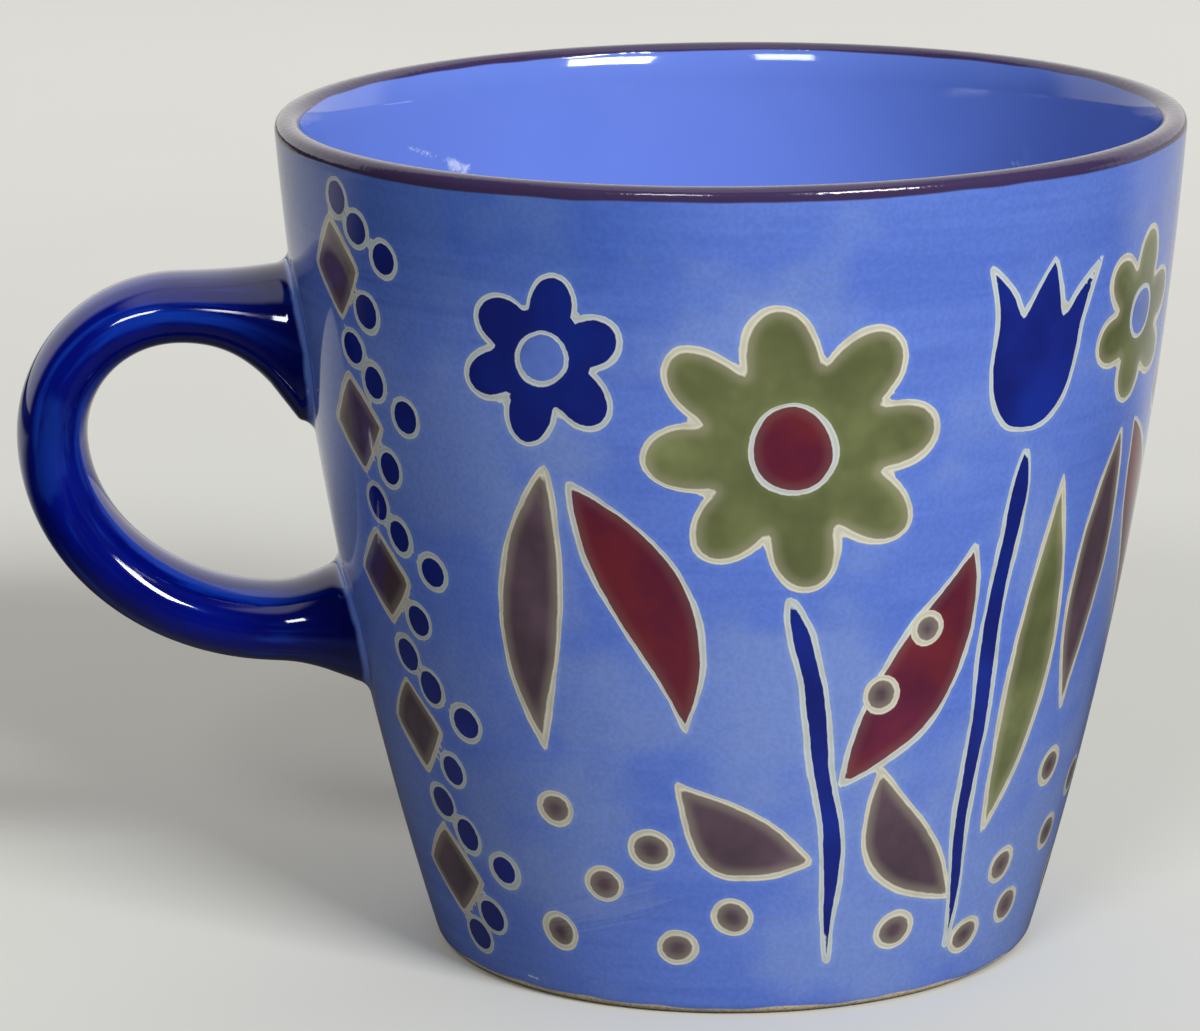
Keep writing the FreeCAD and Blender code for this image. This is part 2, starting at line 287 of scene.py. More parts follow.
    def vector(self, x: Any = 0.0, y: Any = 0.0, z: Any = 0.0) -> Socket:
        """A vector of three values."""
        return self.out(self.node("ShaderNodeCombineXYZ", {0: x, 1: y, 2: z}))

    def parts(self, vector: Socket) -> list[Socket]:
        """The x, y and z of a vector."""
        return list(self.node("ShaderNodeSeparateXYZ", {0: vector}).outputs)

    def vector_math(self, work: str, first: Any, second: Any) -> Socket:
        """One step of arithmetic on vectors."""
        return self.out(self.node("ShaderNodeVectorMath", {0: first, 1: second}, operation=work))

    def measure(self, work: str, first: Any, second: Any = (0.0, 0.0, 0.0)) -> Socket:
        """One number read from vectors, such as their distance."""
        made = self.node("ShaderNodeVectorMath", {0: first, 1: second}, operation=work)
        return self.out(made, "Value")

    def stored(self, name: str, part: str = "Fac") -> Socket:
        """A value that the mesh keeps, as a material reads it."""
        return self.out(self.node("ShaderNodeAttribute", attribute_name=name), part)


class MeshGraph(Graph):
    """A graph that makes a mesh."""

    kind: ClassVar[str] = "GeometryNodeTree"

    def position(self) -> Socket:
        """Where a point is."""
        return self.out(self.node("GeometryNodeInputPosition"))

    def kept(self, name: str, kind: str = "FLOAT") -> Socket:
        """A value that the mesh keeps under a name."""
        reader = self.node("GeometryNodeInputNamedAttribute", {"Name": name}, data_type=kind)
        return self.out(reader)

    def keep(
        self, geometry: Any, name: str, value: Any, kind: str = "FLOAT", domain: str = "POINT"
    ) -> Socket:
        """Keeps a value at each point or face under a name.

        Args:
            geometry: the mesh.
            name: the value's name.
            value: the value.
            kind: the kind of value.
            domain: whether points or faces keep it.

        Returns:
            The mesh with the value.
        """
        inputs = {"Geometry": geometry, "Name": name, "Value": value}
        settings = {"data_type": kind, "domain": domain}
        return self.out(self.node("GeometryNodeStoreNamedAttribute", inputs, **settings))

    def shape_of(self, thing: Socket) -> Socket:
        """The mesh of an object that the tree is given."""
        info = self.node("GeometryNodeObjectInfo", {"Object": thing}, transform_space="ORIGINAL")
        return self.out(info, "Geometry")

    def read_at(self, geometry: Socket, value: Socket, index: Socket, kind: str) -> Socket:
        """A mesh's value at its point of that number."""
        inputs = {"Geometry": geometry, "Value": value, "Index": index}
        return self.out(self.node("GeometryNodeSampleIndex", inputs, data_type=kind))

    def moved(self, geometry: Socket, position: Socket) -> Socket:
        """A mesh with its points put in new places."""
        inputs = {"Geometry": geometry, "Position": position}
        return self.out(self.node("GeometryNodeSetPosition", inputs))

    def joined(self, shapes: Iterable[Socket]) -> Socket:
        """Joins several meshes.

        Args:
            shapes: the meshes.

        Returns:
            One mesh.
        """
        made = self.node("GeometryNodeJoinGeometry")
        for shape in shapes:
            self.tree.links.new(shape, made.inputs[0])
        return self.out(made)

    def finish(self, result: Node, geometry: Socket, material: Socket) -> None:
        """Ends the tree: makes copies real and sets the material."""
        real = self.out(self.node("GeometryNodeRealizeInstances", {"Geometry": geometry}))
        dressed = self.node("GeometryNodeSetMaterial", {"Geometry": real, "Material": material})
        self.feed(result, "Geometry", self.out(dressed))


def open_material(name: str) -> tuple[Material, Graph, Node]:
    """Begins a material.

    Args:
        name: the material's name.

    Returns:
        The material, its graph and its surface shader.
    """
    material = bpy.data.materials.new(name)
    material.use_nodes = True
    return material, Graph(material.node_tree), material.node_tree.nodes["Principled BSDF"]


def raise_surface(graph: Graph, shader: Node, height: Socket) -> None:
    """Gives a shader the relief of a height in millimetres."""
    bump = graph.node("ShaderNodeBump", {"Height": height, "Strength": 1.0, "Distance": MM})
    graph.feed(shader, "Normal", graph.out(bump))


def evaluated_mesh(holder: Thing, name: str) -> Mesh:
    """The plain mesh that an object's modifiers make.

    Args:
        holder: the object with the modifiers.
        name: the new mesh's name.

    Returns:
        The mesh.
    """
    deps = bpy.context.evaluated_depsgraph_get()
    made = bpy.data.meshes.new_from_object(
        holder.evaluated_get(deps), preserve_all_data_layers=True, depsgraph=deps
    )
    made.name = name
    return made


def run_tree(holder: Thing, tree: Tree, inputs: dict[str, Any]) -> None:
    """Adds a geometry tree to an object and sets its inputs by their identifiers.

    Args:
        holder: the object that gets the modifier.
        tree: the geometry tree.
        inputs: a value for each named input.
    """
    modifier = holder.modifiers.new(tree.name, "NODES")
    modifier.node_group = tree
    for item in tree.interface.items_tree:
        if item.item_type == "SOCKET" and item.in_out == "INPUT" and item.name in inputs:
            modifier[item.identifier] = inputs[item.name]


def new_object(name: str, mesh: Mesh) -> Thing:
    """Puts a mesh in the scene as an object at the origin.

    Args:
        name: the object's name.
        mesh: its mesh.

    Returns:
        The object.
    """
    made = bpy.data.objects.new(name, mesh)
    bpy.context.scene.collection.objects.link(made)
    return made


def drop(objects: Iterable[Thing]) -> None:
    """Takes working objects out of the scene again."""
    for thing in list(objects):
        bpy.data.objects.remove(thing, do_unlink=True)


def keep_values(
    mesh: Mesh, name: str, values: Any, kind: str = "FLOAT", domain: str = "POINT"
) -> None:
    """Stores a value for each point or face of a mesh.

    Args:
        mesh: the mesh.
        name: the value's name.
        values: one value for each point or face, in order.
        kind: the kind of value.
        domain: whether points or faces keep it.
    """
    part = {"FLOAT": "value", "FLOAT_VECTOR": "vector", "FLOAT_COLOR": "color"}[kind]
    layer = mesh.attributes.new(name, kind, domain)
    layer.data.foreach_set(part, np.asarray(values, dtype=np.float32).ravel())


def face_outwards(mesh: Mesh) -> None:
    """Turns a closed mesh's faces outwards, where its signed volume says they point inwards.

    Args:
        mesh: the mesh.
    """
    mesh.calc_loop_triangles()
    corners = np.empty(len(mesh.loop_triangles) * 3, dtype=np.int32)
    mesh.loop_triangles.foreach_get("vertices", corners)
    places = np.empty(len(mesh.vertices) * 3, dtype=np.float32)
    mesh.vertices.foreach_get("co", places)
    triangles = places.reshape(-1, 3).astype(float)[corners.reshape(-1, 3)]
    if (triangles[:, 0] * np.cross(triangles[:, 1], triangles[:, 2])).sum() < 0:
        mesh.flip_normals()


# The clay form


@dataclass(frozen=True)
class CupLine:
    """The cup's outline as radii and heights, from the same sizes as the part's source."""

    rim_diameter: float = 100.0
    height: float = 93.5
    lip_thickness: float = 2.9
    lip_square: float = 2.8
    relief_turn: float = 24.5
    relief_lean: float = 6.2
    relief_radius: float = 10.0
    relief_fade: float = 50.0
    base_diameter: float = 66.8
    wall_curve: float = 436.0
    base_wall: float = 4.6
    floor: float = 6.4
    floor_rounding: float = 9.0
    foot_rounding: float = 1.8
    ring_width: float = 5.8
    ring_rounding: float = 0.5
    ring_turn: float = 145.0
    recess_depth: float = 1.7
    recess_slope: float = 1.2
    recess_rounding: Triple = (0.25, 0.3, 0.2)
    sheet_radius: float = 50.0

    floor_points: ClassVar[int] = 8
    corner_steps: ClassVar[int] = 9
    wall_steps: ClassVar[int] = 19
    relief_steps: ClassVar[int] = 8
    lip_steps: ClassVar[int] = 18
    foot_steps: ClassVar[int] = 8
    ring_steps: ClassVar[int] = 4
    recess_points: ClassVar[int] = 6
    sheet_points: ClassVar[int] = 400

    def lip_centre(self) -> np.ndarray:
        """The middle of the lip's round section."""
        half = self.lip_thickness / 2
        return np.array([self.rim_diameter / 2 - half, self.height - half])

    def circle(self, point: Pair, other_radius: float) -> np.ndarray:
        """The centre of a wall circle through a point, at a distance from the lip's centre.

        Args:
            point: a point on the wall, as radius and height.
            other_radius: the distance from the lip's centre.

        Returns:
            The centre, as radius and height.
        """
        first = np.array(point)
        span = self.lip_centre() - first
        length = float(np.hypot(*span))
        along = (self.wall_curve**2 - other_radius**2 + length**2) / (2 * length)
        across = math.sqrt(self.wall_curve**2 - along**2)
        unit = span / length
        return first + unit * along + np.array([-unit[1], unit[0]]) * across

    def outer_centre(self) -> np.ndarray:
        """The centre of the outside wall's circle."""
        return self.circle((self.base_diameter / 2, 0.0), self.wall_curve - self.lip_thickness / 2)

    def inner_centre(self) -> np.ndarray:
        """The centre of the inside wall's circle."""
        edge = (float(self.wall_radius(self.floor)) - self.base_wall, self.floor)
        return self.circle(edge, self.wall_curve + self.lip_thickness / 2)

    def on_circle(self, centre: np.ndarray, level: Any) -> Any:
        """The radius of a wall circle at a height or heights."""
        return centre[0] + np.sqrt(self.wall_curve**2 - (level - centre[1]) ** 2)

    def wall_radius(self, level: Any) -> Any:
        """The outside radius at a height or heights."""
        return self.on_circle(self.outer_centre(), level)

    def inner_radius(self, level: Any) -> Any:
        """The inside radius at a height or heights, before the lip's relief."""
        return self.on_circle(self.inner_centre(), level)

    def rounding(self, centre: np.ndarray, radius: float, level: float) -> tuple[np.ndarray, float]:
        """A rounding that touches a wall circle from inside it.

        Args:
            centre: the wall circle's centre.
            radius: the rounding's radius.
            level: the height of the rounding's centre.

        Returns:
            The rounding's centre, and the angle in degrees at which it touches the wall.
        """
        reach = math.sqrt((self.wall_curve - radius) ** 2 - (level - centre[1]) ** 2)
        bend = np.array([centre[0] + reach, level])
        return bend, math.degrees(math.atan2(bend[1] - centre[1], bend[0] - centre[0]))

    def sheet_height(self, level: Any) -> Any:
        """How far up the flat pattern sheet a height on the wall lies, so that shapes keep true.

        Args:
            level: a height or heights on the wall.

        Returns:
            The height or heights on the sheet.
        """
        levels = np.linspace(0, self.height, self.sheet_points)
        radius = self.wall_radius(levels)
        run = np.hypot(np.diff(levels), np.diff(radius))
        middle = (radius[1:] + radius[:-1]) / 2
        sums = np.concatenate([[0], np.cumsum(run * self.sheet_radius / middle)])
        return np.interp(level, levels, sums)

    def relief(self) -> np.ndarray:
        """The last few millimetres inside below the lip, where the wall eases outwards, upwards.

        Returns:
            The points.
        """
        turn, lean = math.radians(self.relief_turn), math.radians(self.relief_lean)
        half = self.lip_thickness / 2
        start = self.lip_centre() + half * np.array([-math.cos(turn), math.sin(turn)])
        turns = np.linspace(lean, turn, self.relief_steps + 1)[:-1]
        away = start[0] - self.relief_radius * (np.cos(turns) - math.cos(turn))
        level = start[1] - self.relief_radius * (math.sin(turn) - np.sin(turns))
        return np.stack([away, level], axis=1)

    def inside(self) -> np.ndarray:
        """The inside, from the middle of the floor to the end of the lip's relief.

        Returns:
            The points.
        """
        level = self.floor + self.floor_rounding
        bend, touch = self.rounding(self.inner_centre(), self.floor_rounding, level)
        floor = np.linspace((0, self.floor), (bend[0], self.floor), self.floor_points)
        corner = arc(bend, self.floor_rounding, -90, touch, self.corner_steps)
        relief = self.relief()
        end, top = relief[0]
        levels = np.linspace(corner[-1][1], top, self.wall_steps + 1)[1:-1]
        share = smooth_share((levels - top + self.relief_fade) / self.relief_fade)
        depth = float(self.inner_radius(top) - end)
        wall = np.stack([self.inner_radius(levels) - depth * share, levels], axis=1)
        return np.concatenate([floor, corner[1:], wall, relief])

    def lip(self) -> np.ndarray:
        """The lip, from its relief over the crest to the outside wall, a little square outside.

        Returns:
            The points.
        """
        centre, outer = self.lip_centre(), self.outer_centre()
        half = self.lip_thickness / 2
        last = math.degrees(math.atan2(centre[1] - outer[1], centre[0] - outer[0]))
        ring = arc(np.zeros(2), half, 180 - self.relief_turn, last, self.lip_steps)
        squared = ((np.abs(ring) / half) ** self.lip_square).sum(axis=1) ** (-1 / self.lip_square)
        return centre + ring * np.where(ring[:, 0] > 0, squared, 1.0)[:, None]

    def outside(self, rows: int) -> np.ndarray:
        """The outside wall down to the rounding of the foot."""
        levels = np.linspace(self.lip()[-1][1], self.foot()[0][1], rows + 1)[1:-1]
        return np.stack([self.wall_radius(levels), levels], axis=1)

    def foot(self) -> np.ndarray:
        """The rounding of the foot, the ring it stands on, and the recess under the floor.

        Returns:
            The points.
        """
        bend, touch = self.rounding(self.outer_centre(), self.foot_rounding, self.foot_rounding)
        corner = arc(bend, self.foot_rounding, touch, -90, self.foot_steps)
        ring, small = self.base_diameter / 2 - self.ring_width, self.ring_rounding
        edge = np.array([ring + small, small])
        inner = arc(edge, small, -90, -self.ring_turn, self.ring_steps)
        recess, depth = ring - self.recess_slope, self.recess_depth
        before, below, after = self.recess_rounding
        slope = np.array([[recess + before, depth - below], [recess - after, depth]])
        under = np.linspace((recess - self.recess_slope, depth), (0, depth), self.recess_points)
        stand = [[(corner[-1][0] + edge[0]) / 2, 0.0]]
        return np.concatenate([corner, stand, inner, slope, under])


@dataclass(frozen=True)
class LoopLine:
    """The handle's middle line and oval sections, from the same sizes as the part's source.

    A section is one row of numbers: distance from the mug's axis, height, turn, thickness, width.
    """

    line: CupLine
    reach: float = 29.3
    top: float = 76.45
    bottom: float = 32.25
    thickness: float = 7.8
    low_thickness: float = 8.8
    width: float = 13.0
    bend_radius: float = 14.2
    low_run: float = 7.9
    buried: float = 3.0
    upper_rise: float = 1.1
    upper_drop: float = 9.0
    lower_rise: float = 3.2
    lower_drop: float = 2.4
    upper_power: float = 2.5
    lower_power: float = 1.5
    spread: float = 3.8
    spread_power: float = 1.6

    spacing: ClassVar[float] = 0.5
    circle_points: ClassVar[int] = 46
    ellipse_points: ClassVar[int] = 75
    eased_reach: ClassVar[int] = 5

    def outermost(self) -> float:
        """The middle line's greatest distance from the mug's axis."""
        return self.line.rim_diameter / 2 + self.reach - self.thickness / 2

    def upper_level(self) -> float:
        """The height of the upper level run."""
        return self.top - self.thickness / 2

    def lower_level(self) -> float:
        """The height of the lower level run."""
        return self.bottom + self.low_thickness / 2

    def bend_level(self) -> float:
        """The height at which the quarter circle above meets the quarter ellipse below."""
        return self.upper_level() - self.bend_radius

    def run_end(self, upper: bool) -> float:
        """How far from the mug's axis a level run ends and a bend begins."""
        end = self.wall(self.lower_level()) + self.low_run
        return self.outermost() - self.bend_radius if upper else end

    def wall(self, level: float) -> float:
        """The wall's radius at a run's height, as the source's formula gives it.

        Args:
            level: the height.

        Returns:
            The radius.
        """
        line = self.line
        taper = (line.rim_diameter - line.base_diameter) / 2 / line.height
        bow = level * (line.height - level) / (2 * line.wall_curve)
        return line.base_diameter / 2 + taper * level + bow

    def root(self, away: np.ndarray, upper: bool) -> np.ndarray:
        """Sections on a level run, which swell towards the wall.

        Args:
            away: distances from the mug's axis.
            upper: whether it is the upper run.

        Returns:
            The sections.
        """
        if upper:
            level, rise, drop = self.upper_level(), self.upper_rise, self.upper_drop
            power, thickness, turn = self.upper_power, self.thickness, 0.0
        else:
            level, rise, drop = self.lower_level(), self.lower_rise, self.lower_drop
            power, thickness, turn = self.lower_power, self.low_thickness, math.pi
        end = self.run_end(upper)
        share = np.clip((end - away) / (end - self.wall(level)), 0, 1)
        swell = share**power
        return np.stack([
            away, level + (rise - drop) / 2 * swell, np.full_like(away, turn),
            thickness + (rise + drop) * swell, self.width + self.spread * share**self.spread_power,
        ], axis=1)

    def upper_bend(self) -> np.ndarray:
        """Sections on the quarter circle, from the upper run down to the outermost place.

        Returns:
            The sections.
        """
        turns = np.linspace(0, QUARTER, self.circle_points)
        return np.stack([
            self.run_end(True) + self.bend_radius * np.sin(turns),
            self.bend_level() + self.bend_radius * np.cos(turns), turns,
            np.full_like(turns, self.thickness), np.full_like(turns, self.width),
        ], axis=1)

    def lower_bend(self) -> np.ndarray:
        """Sections on the quarter ellipse, from the outermost place to the lower run.

        Returns:
            The sections.
        """
        turns = np.linspace(0, QUARTER, self.ellipse_points + 1)[1:]
        end = self.run_end(False)
        wide, tall = self.outermost() - end, self.bend_level() - self.lower_level()
        growth = (self.low_thickness - self.thickness) * turns / QUARTER
        return np.stack([
            end + wide * np.cos(turns), self.bend_level() - tall * np.sin(turns),
            QUARTER + np.arctan2(wide * np.sin(turns), tall * np.cos(turns)),
            self.thickness + growth, np.full_like(turns, self.width),
        ], axis=1)

    def sections(self) -> np.ndarray:
        """All sections from the upper root to the lower root, close together and eased.

        Returns:
            The sections.
        """
        high = self.wall(self.upper_level()) - self.buried
        low = self.wall(self.lower_level()) - self.buried
        upper = self.root(np.arange(high, self.run_end(True), self.spacing), True)
        lower = self.root(np.arange(self.run_end(False) - self.spacing, low, -self.spacing), False)
        return self.eased(np.concatenate([upper, self.upper_bend(), self.lower_bend(), lower]))

    def eased(self, rows: np.ndarray) -> np.ndarray:
        """Takes the sudden changes of bend out of a row of sections, as clay does.

        Args:
            rows: the sections.

        Returns:
            The eased sections.
        """
        reach = self.eased_reach
        window = np.hanning(2 * reach + 3)[1:-1]
        window /= window.sum()
        before, after = 2 * rows[0] - rows[reach:0:-1], 2 * rows[-1] - rows[-2 : -reach - 2 : -1]
        padded = np.concatenate([before, rows, after])
        columns = [np.convolve(column, window, mode="valid") for column in padded.T]
        return np.stack(columns, axis=1)


# The painted pattern


class Paint(Enum):
    """The painter's colours as they are seen, and how softly each one thins towards its line."""

    OLIVE = (116, 122, 79, 1.0)
    PLUM = (97, 77, 89, 1.0)
    BURGUNDY = (112, 40, 50, 0.25)
    COBALT = (24, 42, 130, 0.0)
    GROUND = (104, 133, 219, 0.0)

    def shade(self) -> Colour:
        """The linear colour, with the softness in place of its cover."""
        red, green, blue, softness = self.value
        return linear(red, green, blue)[:3] + (softness,)


@dataclass(frozen=True)
class Motif:
    """One painted shape, placed by its turn about the mug in degrees and its height.

    A plain motif is a round spot, and its size is its radius.
    """

    paint: Paint
    turn: float
    level: float
    size: float = 3.0

    spot_points: ClassVar[int] = 28

    def outline(self) -> np.ndarray:
        """The shape about its own middle, one unit from middle to edge, before size and place."""
        turns = np.linspace(0, 2 * math.pi, self.spot_points, endpoint=False)
        return np.stack([np.cos(turns), np.sin(turns)], axis=1)

    def placed(self, sheet: "PatternSheet") -> np.ndarray:
        """The outline on the flat sheet, which knows where a turn and a height lie on it."""
        grown = self.outline() * self.size * sheet.swell(self.level)
        return sheet.point(self.turn, self.level) + grown


@dataclass(frozen=True)
class Bloom(Motif):
    """An open flower seen from above, with rounded petals round its middle."""

    petals: int = 8
    lean: float = 0.0
    waist: float = 0.5
    notch: float = 0.02
    roundness: float = 0.3

    petal_points: ClassVar[int] = 26

    def outline(self) -> np.ndarray:
        """The edge of all petals, going round.

        Returns:
            The points.
        """
        turns = np.linspace(0, 2 * math.pi, self.petal_points * self.petals, endpoint=False)
        swing = np.cos(self.petals * (turns - self.lean) / 2) ** 2
        wave = ((swing + self.notch) / (1 + self.notch)) ** self.roundness
        radius = self.waist + (1 - self.waist) * wave
        return np.stack([radius * np.cos(turns), radius * np.sin(turns)], axis=1)


@dataclass(frozen=True)
class Tulip(Motif):
    """A closed flower seen from the side, with a crown of three tips."""

    lean: float = 0.0

    steps: ClassVar[int] = 5
    right_half: ClassVar[tuple[Pair, ...]] = (
        (0.0, -1.0), (0.34, -0.93), (0.62, -0.66), (0.74, -0.2), (0.76, 0.25), (0.86, 0.72),
        (0.93, 0.98), (0.91, 0.99), (0.62, 0.72), (0.4, 0.4), (0.36, 0.4), (0.2, 0.74),
        (0.02, 1.06),
    )

    def outline(self) -> np.ndarray:
        """The cup of the flower and its three tips.

        Returns:
            The points.
        """
        left_half = tuple((-x, y) for x, y in reversed(self.right_half[1:]))
        turn = math.radians(self.lean)
        spin = np.array([[math.cos(turn), -math.sin(turn)], [math.sin(turn), math.cos(turn)]])
        return smooth_loop(np.array(self.right_half + left_half), self.steps) @ spin.T


@dataclass(frozen=True)
class Leaf(Motif):
    """A pointed leaf from its base to its tip; size is its width."""

    tip_turn: float = 0.0
    tip_level: float = 0.0
    bend: float = 0.0

    points: ClassVar[int] = 44
    fullness: ClassVar[float] = 0.88
    blunt: ClassVar[bool] = False

    def widths(self) -> tuple[np.ndarray, np.ndarray]:
        """Places along the middle line from 0 to 1, and the share of the full width there."""
        share = (1 - np.cos(np.linspace(0, math.pi, self.points))) / 2
        return share, np.sin(math.pi * share**self.fullness)

    def placed(self, sheet: "PatternSheet") -> np.ndarray:
        """Both edges, along a bent middle line.

        Args:
            sheet: the sheet, which knows where a turn and a height lie on it.

        Returns:
            The points, up one edge and down the other.
        """
        base, tip = sheet.point(self.turn, self.level), sheet.point(self.tip_turn, self.tip_level)
        swell = sheet.swell((self.level + self.tip_level) / 2)
        share, width = self.widths()
        along = tip - base
        across = np.array([-along[1], along[0]]) / np.hypot(*along)
        bow = 4 * share * (1 - share) * self.bend * swell
        middle = base + share[:, None] * along + bow[:, None] * across
        half = (width * self.size * swell / 2)[:, None] * across
        left, right = middle + half, middle - half
        return np.concatenate([right, left[::-1] if self.blunt else left[-2:0:-1]])


@dataclass(frozen=True)
class Stem(Leaf):
    """A thin stem with a blunt tip, which tapers towards the ground."""

    points: ClassVar[int] = 48
    blunt: ClassVar[bool] = True
    tip_taper: ClassVar[float] = 14.0
    ground_taper: ClassVar[float] = 3.0
    least_width: ClassVar[float] = 0.04

    def widths(self) -> tuple[np.ndarray, np.ndarray]:
        """Places along the middle line from 0 to 1, and the share of the full width there."""
        share = np.linspace(0, 1, self.points)
        taper = np.minimum(share * self.tip_taper, (1 - share) * self.ground_taper)
        return share, np.clip(taper, self.least_width, 1) ** 0.5


@dataclass
class PatternSheet:
    """The flat sheet on which the motifs are drawn before they go round the cup."""

    line: CupLine
    garden_turns: Triple = (3.0, 91.6, 179.4)
    last_spot: float = 221.0
    wobble: float = 0.42
    wobble_lengths: Pair = (42.0, 23.0)
    border_turn: float = -61.5
    border_pitch: float = 17.1
    border_start: float = 12.6
    border_count: int = 5
    slant: float = -0.028
    slant_level: float = 46.0
    lozenge_length: float = 10.6
    lozenge_width: float = 10.1
    dot_diameter: float = 4.25
    dot_rises: tuple[float, ...] = (2.2, -4.1, -8.6, -11.8)
    dot_offsets: tuple[float, ...] = (9.6, 5.3, 1.6, 4.9)
    top_rises: Pair = (4.9, 7.7)
    top_offsets: Pair = (5.2, 1.9)
    lowest_dot: float = 5.3
    dot_overlap: float = 2.0
    unevenness: float = 0.06
    seed: int = 4
    made: list[Thing] = field(default_factory=list)

    mark_points: ClassVar[int] = 24
    lozenge_bow: ClassVar[float] = 1.8
    dot_bow: ClassVar[float] = 1.0
    turn_share: ClassVar[float] = 1.2
    epsilon_place: ClassVar[int] = 12
    spots: ClassVar[tuple[Pair, ...]] = (
        (-35, 24), (-28, 15.5), (-39, 8.5), (-20, 20), (-17, 8.5), (-7, 12.5), (22, 9),
        (44, 14), (39, 6.5),
    )

    def point(self, turn: float, level: float) -> np.ndarray:
        """Where a turn in degrees and a height lie on the sheet."""
        across = math.radians(turn) * self.line.sheet_radius
        return np.array([across, float(self.line.sheet_height(level))])

    def swell(self, level: float) -> float:
        """How much larger a shape is on the sheet than on the wall at a height."""
        return self.line.sheet_radius / float(self.line.wall_radius(level))

    def garden(self, o: float, colours: dict[Paint, Paint]) -> tuple[list[Motif], list[Motif]]:
        """One stretch of the planting: two blooms and a tulip, with leaves, stems and spots.

        Args:
            o: the turn of its middle.
            colours: which paint stands in for which.

        Returns:
            The shapes that are painted first, and those on top of them.
        """
        olive, plum = colours[Paint.OLIVE], colours[Paint.PLUM]
        burgundy, cobalt = colours[Paint.BURGUNDY], colours[Paint.COBALT]
        low = [
            Bloom(cobalt, o - 31, 74.5, 9.6, petals=6, lean=0.3, waist=0.42),
            Leaf(plum, o - 32, 62.5, 7.8, tip_turn=o - 35.5, tip_level=31, bend=-1.4),
            Leaf(burgundy, o - 28, 62, 8.8, tip_turn=o - 14, tip_level=34, bend=2.8),
            Bloom(olive, o + 1, 65.5, 15.6, petals=8, lean=0.12, waist=0.46),
            Leaf(plum, o + 5.5, 19, 8.2, tip_turn=o - 16, tip_level=28, bend=2.6),
            Leaf(burgundy, o + 9, 27, 9.6, tip_turn=o + 27, tip_level=54, bend=-2.4),
            Tulip(cobalt, o + 34.5, 74, 9.0, lean=-6),
            Leaf(olive, o + 37, 19, 7.4, tip_turn=o + 43, tip_level=59, bend=-1.0),
            Leaf(plum, o + 32, 12, 7.6, tip_turn=o + 15, tip_level=29, bend=2.2),
        ]
        for turn, level in self.spots:
            if o + turn < self.last_spot:
                low.append(Motif(plum, o + turn, level, 2.05))
        high = [
            Motif(Paint.GROUND, o - 31, 74.5, 2.9),
            Motif(burgundy, o + 1, 65.5, 4.7),
            Stem(cobalt, o + 1.5, 48.5, 2.3, tip_turn=o + 9, tip_level=6, bend=1.6),
            Stem(cobalt, o + 34, 63, 2.3, tip_turn=o + 34, tip_level=6, bend=-1.6),
            Motif(plum, o + 15, 37.5, 1.9),
            Motif(plum, o + 21, 44.5, 1.7),
        ]
        return low, high

    def layout(self) -> tuple[list[Motif], list[Motif]]:
        """All motifs round the mug, which are three stretches of planting in changing colours.

        Returns:
            The shapes that are painted first, and those on top of them.
        """
        same = {paint: paint for paint in Paint}
        second = same | {Paint.OLIVE: Paint.COBALT, Paint.COBALT: Paint.OLIVE}
        third = same | {Paint.OLIVE: Paint.BURGUNDY, Paint.BURGUNDY: Paint.OLIVE}
        low: list[Motif] = []
        high: list[Motif] = []
        for turn, colours in zip(self.garden_turns, (same, second, third)):
            first, over = self.garden(turn, colours)
            low += first
            high += over
        return low, high

    def wobbled(self, points: np.ndarray, random: np.random.Generator) -> np.ndarray:
        """Moves an outline a little in and out, as a steady hand does.

        Args:
            points: the outline.
            random: the seeded source of chance.

        Returns:
            The moved outline.
        """
        shift = np.zeros_like(points)
        away = points - points.mean(axis=0)
        for length in self.wobble_lengths:
            for axis in (0, 1):
                turn, phase = random.uniform(0, 2 * math.pi, 2)
                along = away @ np.array([math.cos(turn), math.sin(turn)])
                size = self.wobble * math.sqrt(length / self.wobble_lengths[0])
                shift[:, axis] += size * np.sin(2 * math.pi * along / length + phase)
        return points + shift

    def build_motifs(self, name: str, motifs: Sequence[Motif]) -> Thing:
        """Draws motifs as flat faces, each with its paint.

        Args:
            name: the sheet's name.
            motifs: the shapes.

        Returns:
            The flat object.
        """
        random = np.random.default_rng(self.seed)
        points: list[Triple] = []
        faces: list[list[int]] = []
        for motif in motifs:
            outline = self.wobbled(motif.placed(self), random) * MM
            faces.append(list(range(len(points), len(points) + len(outline))))
            points += [(float(x), float(y), 0.0) for x, y in outline]
        mesh = bpy.data.meshes.new(name)
        mesh.from_pydata(points, [], faces)
        keep_values(mesh, "paint", [motif.paint.shade() for motif in motifs], "FLOAT_COLOR", "FACE")
        self.made.append(new_object(name, mesh))
        return self.made[-1]

    def drawn_mark(
        self, graph: MeshGraph, bow: float, wide: Socket, tall: Socket, paint: Paint
    ) -> Socket:
        """One flat mark of the border.

        Args:
            graph: the border's graph.
            bow: 1 for a round mark, and more for one that is drawn out to four points.
            wide, tall: its sides.
            paint: its colour.

        Returns:
            The mark.
        """
        inputs = {"Vertices": self.mark_points, "Radius": 1.0}
        disc = graph.out(graph.node("GeometryNodeMeshCircle", inputs, fill_type="NGON"))
        bowed = []
        for part in graph.parts(graph.position())[:2]:
            size = graph.math("POWER", graph.math("ABSOLUTE", part), bow)
            bowed.append(graph.times(graph.math("SIGN", part), size))
        shaped = graph.node("GeometryNodeTransform", {
            "Geometry": graph.moved(disc, graph.vector(*bowed)),
            "Scale": graph.vector(graph.times(wide, 0.5), graph.times(tall, 0.5), 1.0),
        })
        return graph.keep(graph.out(shaped), "paint", paint.shade(), "FLOAT_COLOR", "FACE")

